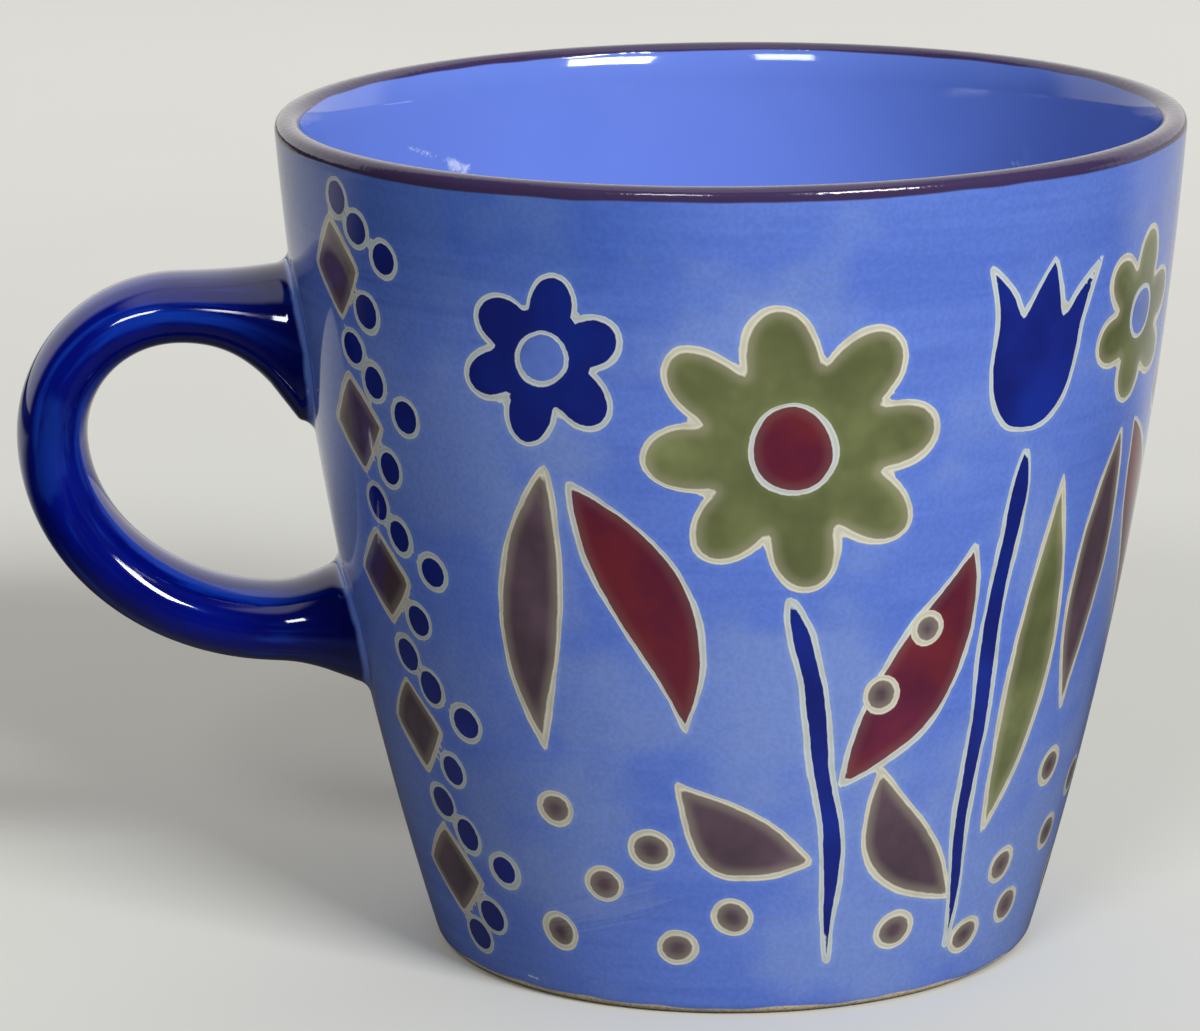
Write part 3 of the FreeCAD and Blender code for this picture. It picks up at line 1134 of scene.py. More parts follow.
    def laid_marks(
        self, graph: MeshGraph, given: dict[str, Socket], mark: Socket, kind: float
    ) -> Socket:
        """Sets one kind of mark on its stations, each a little uneven in size and turn.

        Args:
            graph: the border's graph.
            given: the tree's inputs.
            mark: the mark.
            kind: the kind of station that takes it.

        Returns:
            The marks.
        """
        compared = {0: graph.kept("lozenge"), 1: kind, self.epsilon_place: 0.5}
        chosen = graph.node("FunctionNodeCompare", compared, operation="EQUAL")
        chance = graph.node(
            "FunctionNodeRandomValue", {0: (-1.0,) * 3, 1: (1.0,) * 3, "Seed": given["Seed"]},
            data_type="FLOAT_VECTOR",
        )
        across, up, turned = graph.parts(graph.out(chance))
        uneven, size = given["Unevenness"], graph.kept("size")
        grow = [graph.times(size, graph.scaled(part, uneven, 1.0)) for part in (across, up)]
        spin = graph.times(turned, graph.times(uneven, self.turn_share))
        about = {"Axis": (0.0, 0.0, 1.0), "Angle": spin}
        turn = graph.node("FunctionNodeAxisAngleToRotation", about)
        return graph.out(graph.node("GeometryNodeInstanceOnPoints", {
            "Points": given["Stations"], "Selection": graph.out(chosen), "Instance": mark,
            "Rotation": graph.out(turn), "Scale": graph.vector(*grow, 1.0),
        }))

    def border_tree(self) -> Tree:
        """The tree that sets lozenges and dots on their stations.

        Returns:
            The geometry tree.
        """
        sizes = ("Lozenge Length", "Lozenge Width", "Dot Diameter", "Unevenness")
        takes = {"Stations": "Geometry"} | dict.fromkeys(sizes, "Float")
        takes |= {"Seed": "Int", "Finish": "Material"}
        gives = {"Geometry": "Geometry"}
        graph, given, result = MeshGraph.open("dot and lozenge border", takes, gives)
        long, wide, round_size = (given[name] for name in sizes[:3])
        lozenge = self.drawn_mark(graph, self.lozenge_bow, wide, long, Paint.PLUM)
        dot = self.drawn_mark(graph, self.dot_bow, round_size, round_size, Paint.COBALT)
        kinds = ((lozenge, 1.0), (dot, 0.0))
        laid = [self.laid_marks(graph, given, mark, kind) for mark, kind in kinds]
        graph.finish(result, graph.joined(laid), given["Finish"])
        return graph.tree

    def border_marks(self) -> list[Triple]:
        """The marks of one column of the border, upwards.

        Returns:
            The height, the offset and the kind (1 is a lozenge, 0 a dot) of each mark.
        """
        marks: list[Triple] = []
        for number in range(self.border_count):
            middle = self.border_start + self.border_pitch * number
            marks.append((middle, 0.0, 1.0))
            for rise, away in zip(self.dot_rises, self.dot_offsets):
                if middle + rise > self.lowest_dot - self.dot_overlap:
                    marks.append((max(middle + rise, self.lowest_dot), away, 0.0))
        for rise, away in zip(self.top_rises, self.top_offsets):
            marks.append((middle + rise, away, 0.0))
        return marks

    def build_border(self, finish: Material) -> Thing:
        """The columns of lozenges with a zigzag of dots, one on each side of the handle.

        Args:
            finish: the material that the tree sets.

        Returns:
            The flat object.
        """
        stations: list[Triple] = []
        kinds: list[float] = []
        sizes: list[float] = []
        for side, column in ((1, self.border_turn), (-1, 180 - self.border_turn)):
            for level, away, kind in self.border_marks():
                place, swell = self.point(column, level), self.swell(level)
                shift = side * (away + (level - self.slant_level) * self.slant) * swell
                stations.append(((place[0] + shift) * MM, place[1] * MM, 0.0))
                kinds.append(kind)
                sizes.append(swell)
        mesh = bpy.data.meshes.new("border stations")
        mesh.from_pydata(stations, [], [])
        keep_values(mesh, "lozenge", kinds)
        keep_values(mesh, "size", sizes)
        holder = new_object("border", mesh)
        run_tree(holder, self.border_tree(), {
            "Lozenge Length": self.lozenge_length * MM, "Lozenge Width": self.lozenge_width * MM,
            "Dot Diameter": self.dot_diameter * MM, "Unevenness": self.unevenness,
            "Seed": self.seed, "Finish": finish,
        })
        self.made.append(new_object("border sheet", evaluated_mesh(holder, "border sheet")))
        drop([holder])
        return self.made[-1]


# The finishes


@dataclass(frozen=True)
class BrushMarks:
    """The unevenness of brushed glaze: strokes, soft patches and a wavy surface."""

    fine_share: float = 0.6
    broad_stretch: Triple = (0.5, 0.5, 0.22)
    contrast: Ramp = Ramp(0.3, 0.7)
    wave_scale: float = 55.0
    wave_height: float = 0.12

    def group(self) -> Tree:
        """Builds the marks as a shader group.

        Returns:
            The group.
        """
        sizes = ("Stroke Length", "Stroke Width", "Patch Size")
        graph, given, result = Graph.open(
            "brushed glaze", {"Place": "Vector"} | dict.fromkeys(sizes, "Float"),
            {"Strokes": "Float", "Patches": "Float", "Height": "Float"},
        )
        place = given["Place"]
        along, across, patch = (graph.math("DIVIDE", 1.0, given[size]) for size in sizes)
        stroked = graph.vector_math("MULTIPLY", place, graph.vector(along, along, across))
        fine = graph.noise(stroked, 1.0, 3.0, 0.62)
        broad = graph.noise(graph.vector_math("MULTIPLY", stroked, self.broad_stretch), 1.0, 2.0)
        rest = graph.times(broad, 1 - self.fine_share)
        strokes = graph.plus(graph.times(fine, self.fine_share), rest)
        patches = graph.noise(place, patch, 3.0, 0.55)
        wave = graph.noise(place, self.wave_scale, 1.0, 0.4)
        graph.feed(result, "Strokes", graph.step(strokes, *self.contrast))
        graph.feed(result, "Patches", graph.step(patches, *self.contrast))
        graph.feed(result, "Height", graph.times(wave, self.wave_height))
        return graph.tree


@dataclass(frozen=True)
class ResistPainting:
    """A painted shape: paint inside a cream resist line, and the glaze round it.

    Its edge is the middle of the line, and distances from it are millimetres, outwards. A soft
    paint thins towards its line, and a hard one doesn't.
    """

    hand: tuple[Waver, ...] = (Waver(210.0, 0.42), Waver(1100.0, 0.13))
    thickness: Waver = Waver(120.0, 0.7, 0.0)
    outer_edge: Pair = (0.07, 0.05)
    inner_edge: Pair = (0.05, 0.06)
    inner_blur: float = 0.1
    groove_rise: Pair = (0.8, -0.1)
    groove_fall: Pair = (0.1, 0.7)
    groove_depth: float = 0.015
    # How strongly painted shade dulls the cream along the line's groove.
    groove_shade: float = 0.4
    hard_cream: Colour = linear(206, 216, 220)
    soft_cream: Colour = linear(224, 219, 200)
    dull_cream: Colour = linear(182, 177, 154)
    speck_scale: float = 420.0
    specks: Ramp = Ramp(0.45, 0.75, 0.0, 0.35)
    patch_scale: float = 110.0
    patches: Ramp = Ramp(0.3, 0.66)
    patch_share: float = 0.36
    hard_patch: Colour = linear(26, 10, 74)
    soft_patch: Colour = linear(26, 22, 18)
    wash_scale: float = 62.0
    wash: Ramp = Ramp(0.5, 0.72, 1.0, 1.35)
    thin_reach: float = 1.5
    thin_share: float = 0.34
    thin_paint: Colour = linear(184, 176, 152)
    halo_reach: float = 0.7
    halo: Pair = (1.16, 1.0)
    paint_height: float = 0.012

    def group(self) -> Tree:
        """Builds the painted shape as a shader group.

        Returns:
            The group.
        """
        graph, given, result = Graph.open(
            "painted shape",
            {"Edge": "Float", "Paint": "Color", "Under": "Color", "Place": "Vector",
             "Line Width": "Float", "Softness": "Float"},
            {"Colour": "Color", "Height": "Float"},
        )
        place, softness, moved = given["Place"], given["Softness"], given["Edge"]
        for waver in self.hand:
            moved = graph.wavered(moved, place, waver)
        half = graph.times(given["Line Width"], graph.wavered(0.5, place, self.thickness))
        inner = graph.times(half, -1.0)
        before, after = self.outer_edge
        outside = graph.step(moved, graph.minus(half, before), graph.plus(half, after))
        painted = graph.minus(1.0, outside)
        before, after = self.inner_edge
        blur = graph.scaled(softness, self.inner_blur, before)
        inside = graph.step(moved, graph.minus(inner, blur), graph.plus(inner, after))
        line = graph.times(inside, painted)
        groove = self.groove(graph, moved, half)
        near = graph.step(moved, graph.minus(inner, self.thin_reach), inner)
        fill = self.fill(graph, given, near)
        halo = graph.step(moved, half, graph.plus(half, self.halo_reach), *self.halo)
        glow = graph.vector(halo, halo, graph.scaled(halo, 0.5, 0.5))
        body = graph.mix(outside, fill, graph.dim(given["Under"], glow))
        cream = self.cream(graph, place, softness, groove)
        graph.feed(result, "Colour", graph.mix(line, body, cream))
        raised = graph.times(painted, self.paint_height)
        height = graph.scaled(graph.times(line, groove), -self.groove_depth, raised)
        graph.feed(result, "Height", height)
        return graph.tree

    def groove(self, graph: Graph, moved: Socket, half: Socket) -> Socket:
        """The faint groove along the middle of the line.

        Args:
            graph: the group's graph.
            moved: the distance from the line's middle.
            half: half the line's width.

        Returns:
            The groove's share, from 0 to 1.
        """
        start, end = self.groove_rise
        rise = graph.step(moved, graph.times(half, -start), graph.times(half, end))
        start, end = self.groove_fall
        fall = graph.step(moved, graph.times(half, start), graph.times(half, end), 1.0, 0.0)
        return graph.times(rise, fall)

    def cream(self, graph: Graph, place: Socket, softness: Socket, groove: Socket) -> Socket:
        """The line's colour, with painted shade along its groove, and duller in specks.

        Args:
            graph: the group's graph.
            place: the place on the mug.
            softness: how soft the paint is.
            groove: the groove's share.

        Returns:
            The colour.
        """
        clean = graph.mix(softness, self.hard_cream, self.soft_cream)
        # Painted shade: the cream is darkened along the groove in the line's middle.
        groove_shaded = graph.mix(graph.times(groove, self.groove_shade), clean, self.dull_cream)
        specks = graph.step(graph.noise(place, self.speck_scale, 1.0), *self.specks)
        return graph.mix(specks, groove_shaded, self.dull_cream)

    def fill(self, graph: Graph, given: dict[str, Socket], near: Socket) -> Socket:
        """The paint inside the line, in deeper patches and thinner washes.

        Args:
            graph: the group's graph.
            given: the group's inputs.
            near: how near the line is, from 0 to 1.

        Returns:
            The colour.
        """
        place, softness = given["Place"], given["Softness"]
        patch = graph.step(graph.noise(place, self.patch_scale, 3.0, 0.6), *self.patches)
        deeper = graph.mix(softness, self.hard_patch, self.soft_patch)
        fill = graph.mix(graph.times(patch, self.patch_share), given["Paint"], deeper)
        wash = graph.step(graph.noise(place, self.wash_scale, 2.0), *self.wash)
        thin = graph.times(near, graph.times(softness, self.thin_share))
        return graph.mix(thin, graph.dim(fill, graph.grey(wash)), self.thin_paint)


@dataclass(frozen=True)
class GlazeMark:
    """A small patch of another colour in the glaze, as a soft stroke between two places.

    Its edge is ragged, and a streak above 1 draws the raggedness out along the stroke.
    """

    start: Triple
    end: Triple
    reach: float
    share: float
    colour: Colour = linear(205, 214, 240)
    ragged: float = 1.0
    streak: float = 1.0

    core: ClassVar[float] = 0.25
    fineness: ClassVar[float] = 1.1

    def mask(self, graph: Graph, place: Socket) -> Socket:
        """How strongly the mark covers each place.

        Args:
            graph: the material's graph.
            place: the place on the mug.

        Returns:
            The cover, from 0 to 1.
        """
        start, end = Vector(self.start) * MM, Vector(self.end) * MM
        span = end - start
        away = graph.vector_math("SUBTRACT", place, tuple(start))
        along = graph.measure("DOT_PRODUCT", away, tuple(span / span.length_squared))
        share = graph.out(graph.node("ShaderNodeClamp", {"Value": along}))
        reached = {0: tuple(span), "Scale": share}
        nearest = graph.node("ShaderNodeVectorMath", reached, operation="SCALE")
        gap = graph.times(graph.measure("DISTANCE", away, graph.out(nearest)), 1 / MM)
        side = span.cross(Vector((start.x, start.y, 0.0))).normalized()
        across = graph.times(graph.measure("DOT_PRODUCT", away, tuple(side)), self.streak)
        drawn_out = graph.times(along, span.length / self.streak)
        scale = self.fineness / (self.reach * MM)
        rough = graph.noise(graph.vector(drawn_out, across, start.z), scale, 2.0, 0.7)
        uneven = graph.scaled(graph.minus(rough, 0.5), 2 * self.ragged * self.reach, gap)
        return graph.step(uneven, self.core * self.reach, self.reach, self.share, 0.0)


@dataclass(frozen=True)
class Surface:
    """What a glaze reads at each point: its place, and the brush marks there."""

    graph: Graph
    place: Socket
    strokes: Socket
    patches: Socket
    wave: Socket

    @classmethod
    def read(cls, graph: Graph, group: Tree, brush: Brush, along: str = "") -> Self:
        """Reads the place and the brush marks.

        Args:
            graph: the material's graph.
            group: the group of brush marks.
            brush: how the glaze was brushed.
            along: the stored place that the strokes follow, where that isn't the place on the mug.

        Returns:
            What the glaze reads.
        """
        place = graph.out(graph.node("ShaderNodeTexCoord"), "Object")
        marks = graph.node("ShaderNodeGroup", {
            "Place": graph.stored(along, "Vector") if along else place,
            "Stroke Length": brush.length, "Stroke Width": brush.width, "Patch Size": brush.patch,
        }, node_tree=group)
        values = (graph.out(marks, name) for name in ("Strokes", "Patches", "Height"))
        return cls(graph, place, *values)


@dataclass(frozen=True)
class PaintedGlaze:
    """The finish of the whole cup: painted outside, plain inside, plum lip, bare foot ring.

    What reads a place on the mug is in metres.
    """

    brush: Brush = Brush(0.03, 0.0015, 0.024)
    gloss: float = 0.07
    ground: Colour = Paint.GROUND.shade()
    deep: Colour = linear(84, 113, 206)
    deep_share: float = 0.66
    pale: Colour = linear(131, 154, 214)
    cloud_strokes: float = 0.25
    clouds: Ramp = Ramp(0.35, 1.05)
    cloud_side: Ramp = Ramp(-0.042, -0.022, 0.3, 0.72)
    grain_scale: float = 1900.0
    grain: Ramp = Ramp(0.3, 0.7, 0.95, 1.05)
    # A darker streaky band just under the lip, strongest towards -X: its streaks, heights, side and
    # tint.
    top_dark_streaks: float = 0.006
    top_dark_level: Ramp = Ramp(0.071, 0.087)
    top_dark_side: Ramp = Ramp(-0.002, -0.021, 0.15, 1.0)
    top_dark_tint: Colour = (0.5, 0.62, 0.78, 1.0)
    root_cobalt: Colour = linear(8, 26, 130)
    root_bleed: Ramp = Ramp(0.1, 0.9, 0.8, 0.0)
    line_width: float = 0.6
    crest: Ramp = Ramp(-0.2, 0.2, 1.0, 0.0)
    inside: Colour = linear(108, 134, 220)
    inside_deep: Colour = linear(96, 122, 208)
    inside_share: float = 0.35
    # Painted shade on the inner wall away from the handle: where it begins along x, and its tint.
    painted_shade_side: Ramp = Ramp(0.006, 0.034, 0.0, 0.9)
    painted_shade_tint: Colour = (0.77, 0.83, 0.84, 1.0)
    lip: Colour = linear(65, 51, 87)
    lip_deep: Colour = linear(54, 40, 68)
    lip_share: float = 0.4
    lip_outside: float = 2.3
    lip_inside: float = -1.7
    lip_blur: float = 0.12
    lip_waver: Waver = Waver(90.0, 0.7)
    lip_roughness: float = 0.06
    lip_relief: Pair = (1300.0, 0.035)
    clay: Colour = linear(234, 217, 176)
    grit: Colour = linear(206, 182, 136)
    grits: Ramp = Ramp(0.4, 0.7)
    clay_roughness: float = 0.75
    clay_relief: Pair = (2500.0, 0.05)
    bare_radius: Ramp = Ramp(0.0262, 0.0268)
    bare_level: Ramp = Ramp(0.0007, 0.001, 1.0, 0.0)
    bare_waver: Waver = Waver(160.0, 0.0009)
    # Pale spots on the inner wall below the lip, a small white spot low by the foot, and faint pale
    # scuffs low on the front.
    glaze_marks: tuple[GlazeMark, ...] = (
        GlazeMark((-35.4, 29.9, 84.6), (-32.2, 33.1, 83.1), 0.5, 0.8),
        GlazeMark((-30.6, 34.5, 82.0), (-28.6, 35.9, 80.9), 1.0, 0.8),
        GlazeMark((36.7, 27.8, 81.7), (35.0, 29.9, 81.7), 0.5, 0.6),
        GlazeMark((-24.0, -23.9, 2.1), (-23.1, -24.7, 2.0), 0.25, 1.0, linear(235, 240, 250), 0.4),
        GlazeMark((-20.5, -30.3, 10.8), (-11.5, -35.0, 14.2), 2.2, 0.14, linear(176, 190, 224),
             ragged=2.2, streak=5.0),
    )

    def brushed_ground(self, on: Surface) -> Socket:
        """The blue glaze outside: strokes, clouds, grain, and darker in a streaky band just under
        the lip, most on the handle's side.

        Args:
            on: what the glaze reads.

        Returns:
            The colour.
        """
        graph = on.graph
        x, _, z = graph.parts(on.place)
        colour = graph.mix(graph.times(on.strokes, self.deep_share), self.ground, self.deep)
        cloud = graph.step(graph.scaled(on.strokes, self.cloud_strokes, on.patches), *self.clouds)
        colour = graph.mix(graph.times(cloud, graph.step(x, *self.cloud_side)), colour, self.pale)
        grain = graph.step(graph.noise(on.place, self.grain_scale, 1.0), *self.grain)
        colour = graph.dim(colour, graph.grey(grain))
        # Darker in a streaky band just under the lip, mostly on the handle's side.
        streaky = graph.scaled(graph.minus(on.strokes, 0.5), self.top_dark_streaks, z)
        darker_zone = graph.times(graph.step(streaky, *self.top_dark_level), graph.step(x, *self.top_dark_side))
        colour = graph.mix(darker_zone, colour, graph.dim(colour, self.top_dark_tint))
        bleed = graph.step(graph.stored("root_gap"), *self.root_bleed)
        return graph.mix(bleed, colour, self.root_cobalt)

    def painted(self, on: Surface, shape: Tree, colour: Socket) -> tuple[Socket, Socket]:
        """Lays both layers of painted shapes over the glaze.

        Args:
            on: what the glaze reads.
            shape: the group of a painted shape.
            colour: the colour of the glaze.

        Returns:
            The colour and the height.
        """
        graph, height = on.graph, on.wave
        for layer in ("low", "high"):
            paint = f"paint_{layer}"
            drawn = graph.node("ShaderNodeGroup", {
                "Edge": graph.stored(f"edge_{layer}"), "Under": colour, "Place": on.place,
                "Paint": graph.stored(paint, "Color"), "Softness": graph.stored(paint, "Alpha"),
                "Line Width": self.line_width,
            }, node_tree=shape)
            colour = graph.out(drawn, "Colour")
            height = graph.plus(height, graph.out(drawn, "Height"))
        return colour, height

    def bowl(self, on: Surface) -> Socket:
        """The plain glaze inside, with painted shade: darker on the inner wall away from the
        handle, where the lamps' light doesn't fall.

        Args:
            on: what the glaze reads.

        Returns:
            The colour.
        """
        graph = on.graph
        deeper = graph.times(on.patches, self.inside_share)
        colour = graph.mix(deeper, self.inside, self.inside_deep)
        # Painted shade: the inner wall on the +X side is darkened where the lamps' light doesn't
        # fall.
        painted_shade = graph.step(graph.parts(on.place)[0], *self.painted_shade_side)
        return graph.mix(painted_shade, colour, graph.dim(colour, self.painted_shade_tint))

    def lip_band(self, on: Surface, crest_gap: Socket) -> Socket:
        """Where the band over the lip lies.

        Args:
            on: what the glaze reads.
            crest_gap: the distance from the crest along the wall, outside above 0.

        Returns:
            The band's cover, from 0 to 1.
        """
        graph, blur = on.graph, self.lip_blur
        place = graph.wavered(crest_gap, on.place, self.lip_waver)
        above = graph.step(place, self.lip_outside - blur, self.lip_outside + blur, 1.0, 0.0)
        return graph.times(above, graph.step(place, self.lip_inside - blur, self.lip_inside + blur))

    def bare_ring(self, on: Surface) -> Socket:
        """Where the foot ring is left without glaze.

        Args:
            on: what the glaze reads.

        Returns:
            The bare clay's cover, from 0 to 1.
        """
        graph = on.graph
        x, y, z = graph.parts(on.place)
        squares = graph.plus(graph.math("POWER", x, 2.0), graph.math("POWER", y, 2.0))
        ring = graph.step(graph.math("SQRT", squares), *self.bare_radius)
        low = graph.step(graph.wavered(z, on.place, self.bare_waver), *self.bare_level)
        return graph.times(low, ring)

    def build(self, name: str, brushed: Tree, shape: Tree) -> Material:
        """Builds the material.

        Args:
            name: the material's name.
            brushed: the group of brush marks.
            shape: the group of a painted shape.

        Returns:
            The material.
        """
        material, graph, shader = open_material(name)
        on = Surface.read(graph, brushed, self.brush)
        colour, height = self.painted(on, shape, self.brushed_ground(on))
        crest_gap = graph.stored("lip_arc")
        colour = graph.mix(graph.step(crest_gap, *self.crest), colour, self.bowl(on))
        band, bare = self.lip_band(on, crest_gap), self.bare_ring(on)
        worn = graph.mix(graph.times(on.patches, self.lip_share), self.lip, self.lip_deep)
        colour = graph.mix(band, colour, worn)
        coarse = graph.noise(on.place, self.clay_relief[0], 1.0)
        gritty = graph.mix(graph.step(coarse, *self.grits), self.clay, self.grit)
        colour = graph.mix(bare, colour, gritty)
        for glaze_mark in self.glaze_marks:
            colour = graph.mix(glaze_mark.mask(graph, on.place), colour, glaze_mark.colour)
        graph.feed(shader, "Base Color", colour)
        rough = graph.scaled(band, self.lip_roughness, self.gloss)
        graph.feed(shader, "Roughness", graph.scaled(bare, self.clay_roughness, rough))
        height = graph.scaled(graph.times(bare, coarse), self.clay_relief[1], height)
        pitted = graph.times(band, graph.noise(on.place, self.lip_relief[0], 1.0))
        raise_surface(graph, shader, graph.scaled(pitted, self.lip_relief[1], height))
        return material


@dataclass(frozen=True)
class CobaltGlaze:
    """The handle's thick cobalt glaze, brushed along the loop, over the cup's blue at its roots."""

    brush: Brush = Brush(0.0022, 0.02, 0.016)
    gloss: float = 0.06
    sheen: float = 0.62
    body: Colour = linear(3, 15, 120)
    deep: Colour = linear(1, 6, 78)
    deep_share: float = 0.7
    thin: Colour = linear(18, 62, 176)
    thin_strokes: Ramp = Ramp(0.42, 0.95)
    thin_share: float = 0.75
    # Where the cobalt turns to its deep colour near the wall: fully within 2 mm, not past 11 mm.
    darker_zone: Ramp = Ramp(2.0, 11.0, 0.75, 0.0)
    ground: Colour = Paint.GROUND.shade()
    ground_edge: Ramp = Ramp(0.25, 0.75)
    ground_waver: Waver = Waver(300.0, 0.5, 2.0)
    # A paler streak down the front of the handle's outer bend.
    streak: GlazeMark = GlazeMark(
        (-74.6, -6.4, 63.0), (-76.0, -6.2, 54.0), 2.2, 0.3, linear(28, 70, 170), streak=3.0
    )

    def build(self, name: str, brushed: Tree) -> Material:
        """Builds the material.

        Args:
            name: the material's name.
            brushed: the group of brush marks.

        Returns:
            The material.
        """
        material, graph, shader = open_material(name)
        on = Surface.read(graph, brushed, self.brush, "loop_place")
        colour = graph.mix(graph.times(on.patches, self.deep_share), self.body, self.deep)
        thin = graph.times(graph.step(on.strokes, *self.thin_strokes), self.thin_share)
        colour = graph.mix(thin, colour, self.thin)
        colour = graph.mix(self.streak.mask(graph, on.place), colour, self.streak.colour)
        wall_gap = graph.stored("wall_gap")
        # Darker towards the wall at both roots.
        colour = graph.mix(graph.step(wall_gap, *self.darker_zone), colour, self.deep)
        edge = graph.step(graph.wavered(wall_gap, on.place, self.ground_waver), *self.ground_edge)
        graph.feed(shader, "Base Color", graph.mix(edge, self.ground, colour))
        shader.inputs["Roughness"].default_value = self.gloss
        shader.inputs["Specular IOR Level"].default_value = self.sheen
        raise_surface(graph, shader, on.wave)
        return material


# The pieces


@dataclass
class Handle:
    """The loop handle, which grows out of the wall with a small fillet at both roots."""

    loop: LoopLine
    around: int = 96
    fillet: float = 1.6
    fillet_steps: int = 8
    bite: float = 0.02
    clearance: float = 0.25
    sunk: float = 1.0
    cap_share: float = 0.5
    search_reach: float = 6.0
    search_step: float = 0.05
    brushed_radii: Pair = (6.0, 5.0)

    def outward(self, row: np.ndarray, turns: np.ndarray) -> tuple[np.ndarray, np.ndarray]:
        """Points and outward directions of one section.

        Args:
            row: the section's distance, height, turn, thickness and width.
            turns: the angles round it.

        Returns:
            The points and the directions, as x, y, z.
        """
        away, level, turn, thick, wide = row
        up = np.array([-math.sin(turn), 0, math.cos(turn)])
        side = np.array([0, 1.0, 0])
        s, c = np.sin(turns)[:, None], np.cos(turns)[:, None]
        points = np.array([-away, 0, level]) + s * thick / 2 * up + c * wide / 2 * side
        out = s / thick * up + c / wide * side
        return points, out / np.linalg.norm(out, axis=1)[:, None]

    def gap(self, points: np.ndarray) -> np.ndarray:
        """How far points stand off the outside wall.

        Args:
            points: the points.

        Returns:
            The distance of each, below 0 inside the wall.
        """
        centre = self.loop.line.outer_centre()
        radius = np.hypot(points[..., 0], points[..., 1])
        return np.hypot(radius - centre[0], points[..., 2] - centre[1]) - self.loop.line.wall_curve

    def pressed(self, points: np.ndarray, gap: float) -> np.ndarray:
        """Moves points towards or off the wall until they stand off by a set distance.

        Args:
            points: the points.
            gap: the distance.

        Returns:
            The moved points.
        """
        centre = self.loop.line.outer_centre()
        radius = np.hypot(points[:, 0], points[:, 1])
        lean = np.stack([radius - centre[0], points[:, 2] - centre[1]], axis=1)
        lean *= ((self.loop.line.wall_curve + gap) / np.hypot(lean[:, 0], lean[:, 1]))[:, None]
        moved = points.copy()
        moved[:, :2] *= ((centre[0] + lean[:, 0]) / radius)[:, None]
        moved[:, 2] = centre[1] + lean[:, 1]
        return moved

    def root_rings(self, upper: bool, turns: np.ndarray) -> list[np.ndarray]:
        """The rings of one root, from inside the wall out to where the fillet ends.

        Args:
            upper: whether it is the upper root.
            turns: the angles round the section.

        Returns:
            The rings, from the wall outwards.
        """
        loop = self.loop
        wall = loop.wall(loop.upper_level() if upper else loop.lower_level())
        away = np.arange(wall - self.search_reach, wall + self.search_reach, self.search_step)
        pairs = [self.outward(row, turns) for row in loop.root(away, upper)]
        points, outs = (np.stack(part) for part in zip(*pairs))
        gaps = self.gap(points)
        pick = np.arange(len(turns))
        rings = []
        for alpha in np.radians(np.linspace(0, 90, self.fillet_steps + 1)):
            off = self.fillet * (1 - math.cos(alpha))
            shift = self.fillet * (1 - math.sin(alpha))
            index = np.argmin(np.abs(gaps - off), axis=0)
            moved = points[index, pick] + outs[index, pick] * shift
            rings.append(self.pressed(moved, off - self.bite))
        buried = self.pressed(rings[0], -self.sunk)
        middle = buried.mean(axis=0)
        cap = self.pressed(middle + (buried - middle) * self.cap_share, -self.sunk)
        return [cap, buried] + rings

    def rings(self, turns: np.ndarray) -> np.ndarray:
        """All rings, from the upper root to the lower root.

        Args:
            turns: the angles round a section.

        Returns:
            The rings, one row of points each.
        """
        upper, lower = self.root_rings(True, turns), self.root_rings(False, turns)
        free = [self.outward(row, turns)[0] for row in self.loop.sections()]
        clear = [ring for ring in free if self.gap(ring).min() > self.fillet + self.clearance]
        return np.stack(upper + clear + lower[::-1])

    def faces(self, count: int) -> list[tuple[int, ...]]:
        """The faces between the rings, and the fans that close both ends.

        Args:
            count: how many rings there are.

        Returns:
            The faces. The ends' middle points come after all rings.
        """
        around, top, end = self.around, count * self.around, (count - 1) * self.around
        steps = [(j, (j + 1) % around) for j in range(around)]
        faces: list[tuple[int, ...]] = []
        for i in range(0, end, around):
            faces += [(i + j, i + k, i + around + k, i + around + j) for j, k in steps]
        for j, k in steps:
            faces += [(top, k, j), (top + 1, end + j, end + k)]
        return faces

    def brushed_place(self, grid: np.ndarray, turns: np.ndarray) -> np.ndarray:
        """Where each point lies on a straightened handle, so that brush strokes follow the loop.

        Args:
            grid: the rings.
            turns: the angles round a section.

        Returns:
            The places.
        """
        step = np.linalg.norm(np.diff(grid.mean(axis=1), axis=0), axis=1)
        along = np.repeat(np.concatenate([[0], np.cumsum(step)]), self.around)
        turns = np.tile(turns, len(grid))
        wide, thick = self.brushed_radii
        place = np.stack([np.cos(turns) * wide, np.sin(turns) * thick, along], axis=1)
        return np.concatenate([place, np.zeros((2, 3))])

    def build(self, finish: Material) -> Thing:
        """Builds the handle's mesh and dresses it.

        Args:
            finish: the glaze.

        Returns:
            The handle.
        """
        turns = np.linspace(0, 2 * math.pi, self.around, endpoint=False)
        grid = self.rings(turns)
        ends = [grid[0].mean(axis=0), grid[-1].mean(axis=0)]
        points = np.concatenate([grid.reshape(-1, 3), ends])
        mesh = bpy.data.meshes.new("handle")
        mesh.from_pydata((points * MM).tolist(), [], self.faces(len(grid)))
        mesh.shade_smooth()
        keep_values(mesh, "wall_gap", self.gap(points))
        keep_values(mesh, "loop_place", self.brushed_place(grid, turns) * MM, "FLOAT_VECTOR")
        face_outwards(mesh)
        mesh.materials.append(finish)
        log.info("handle: %d rings of %d points", len(grid), self.around)
        return new_object("handle", mesh)


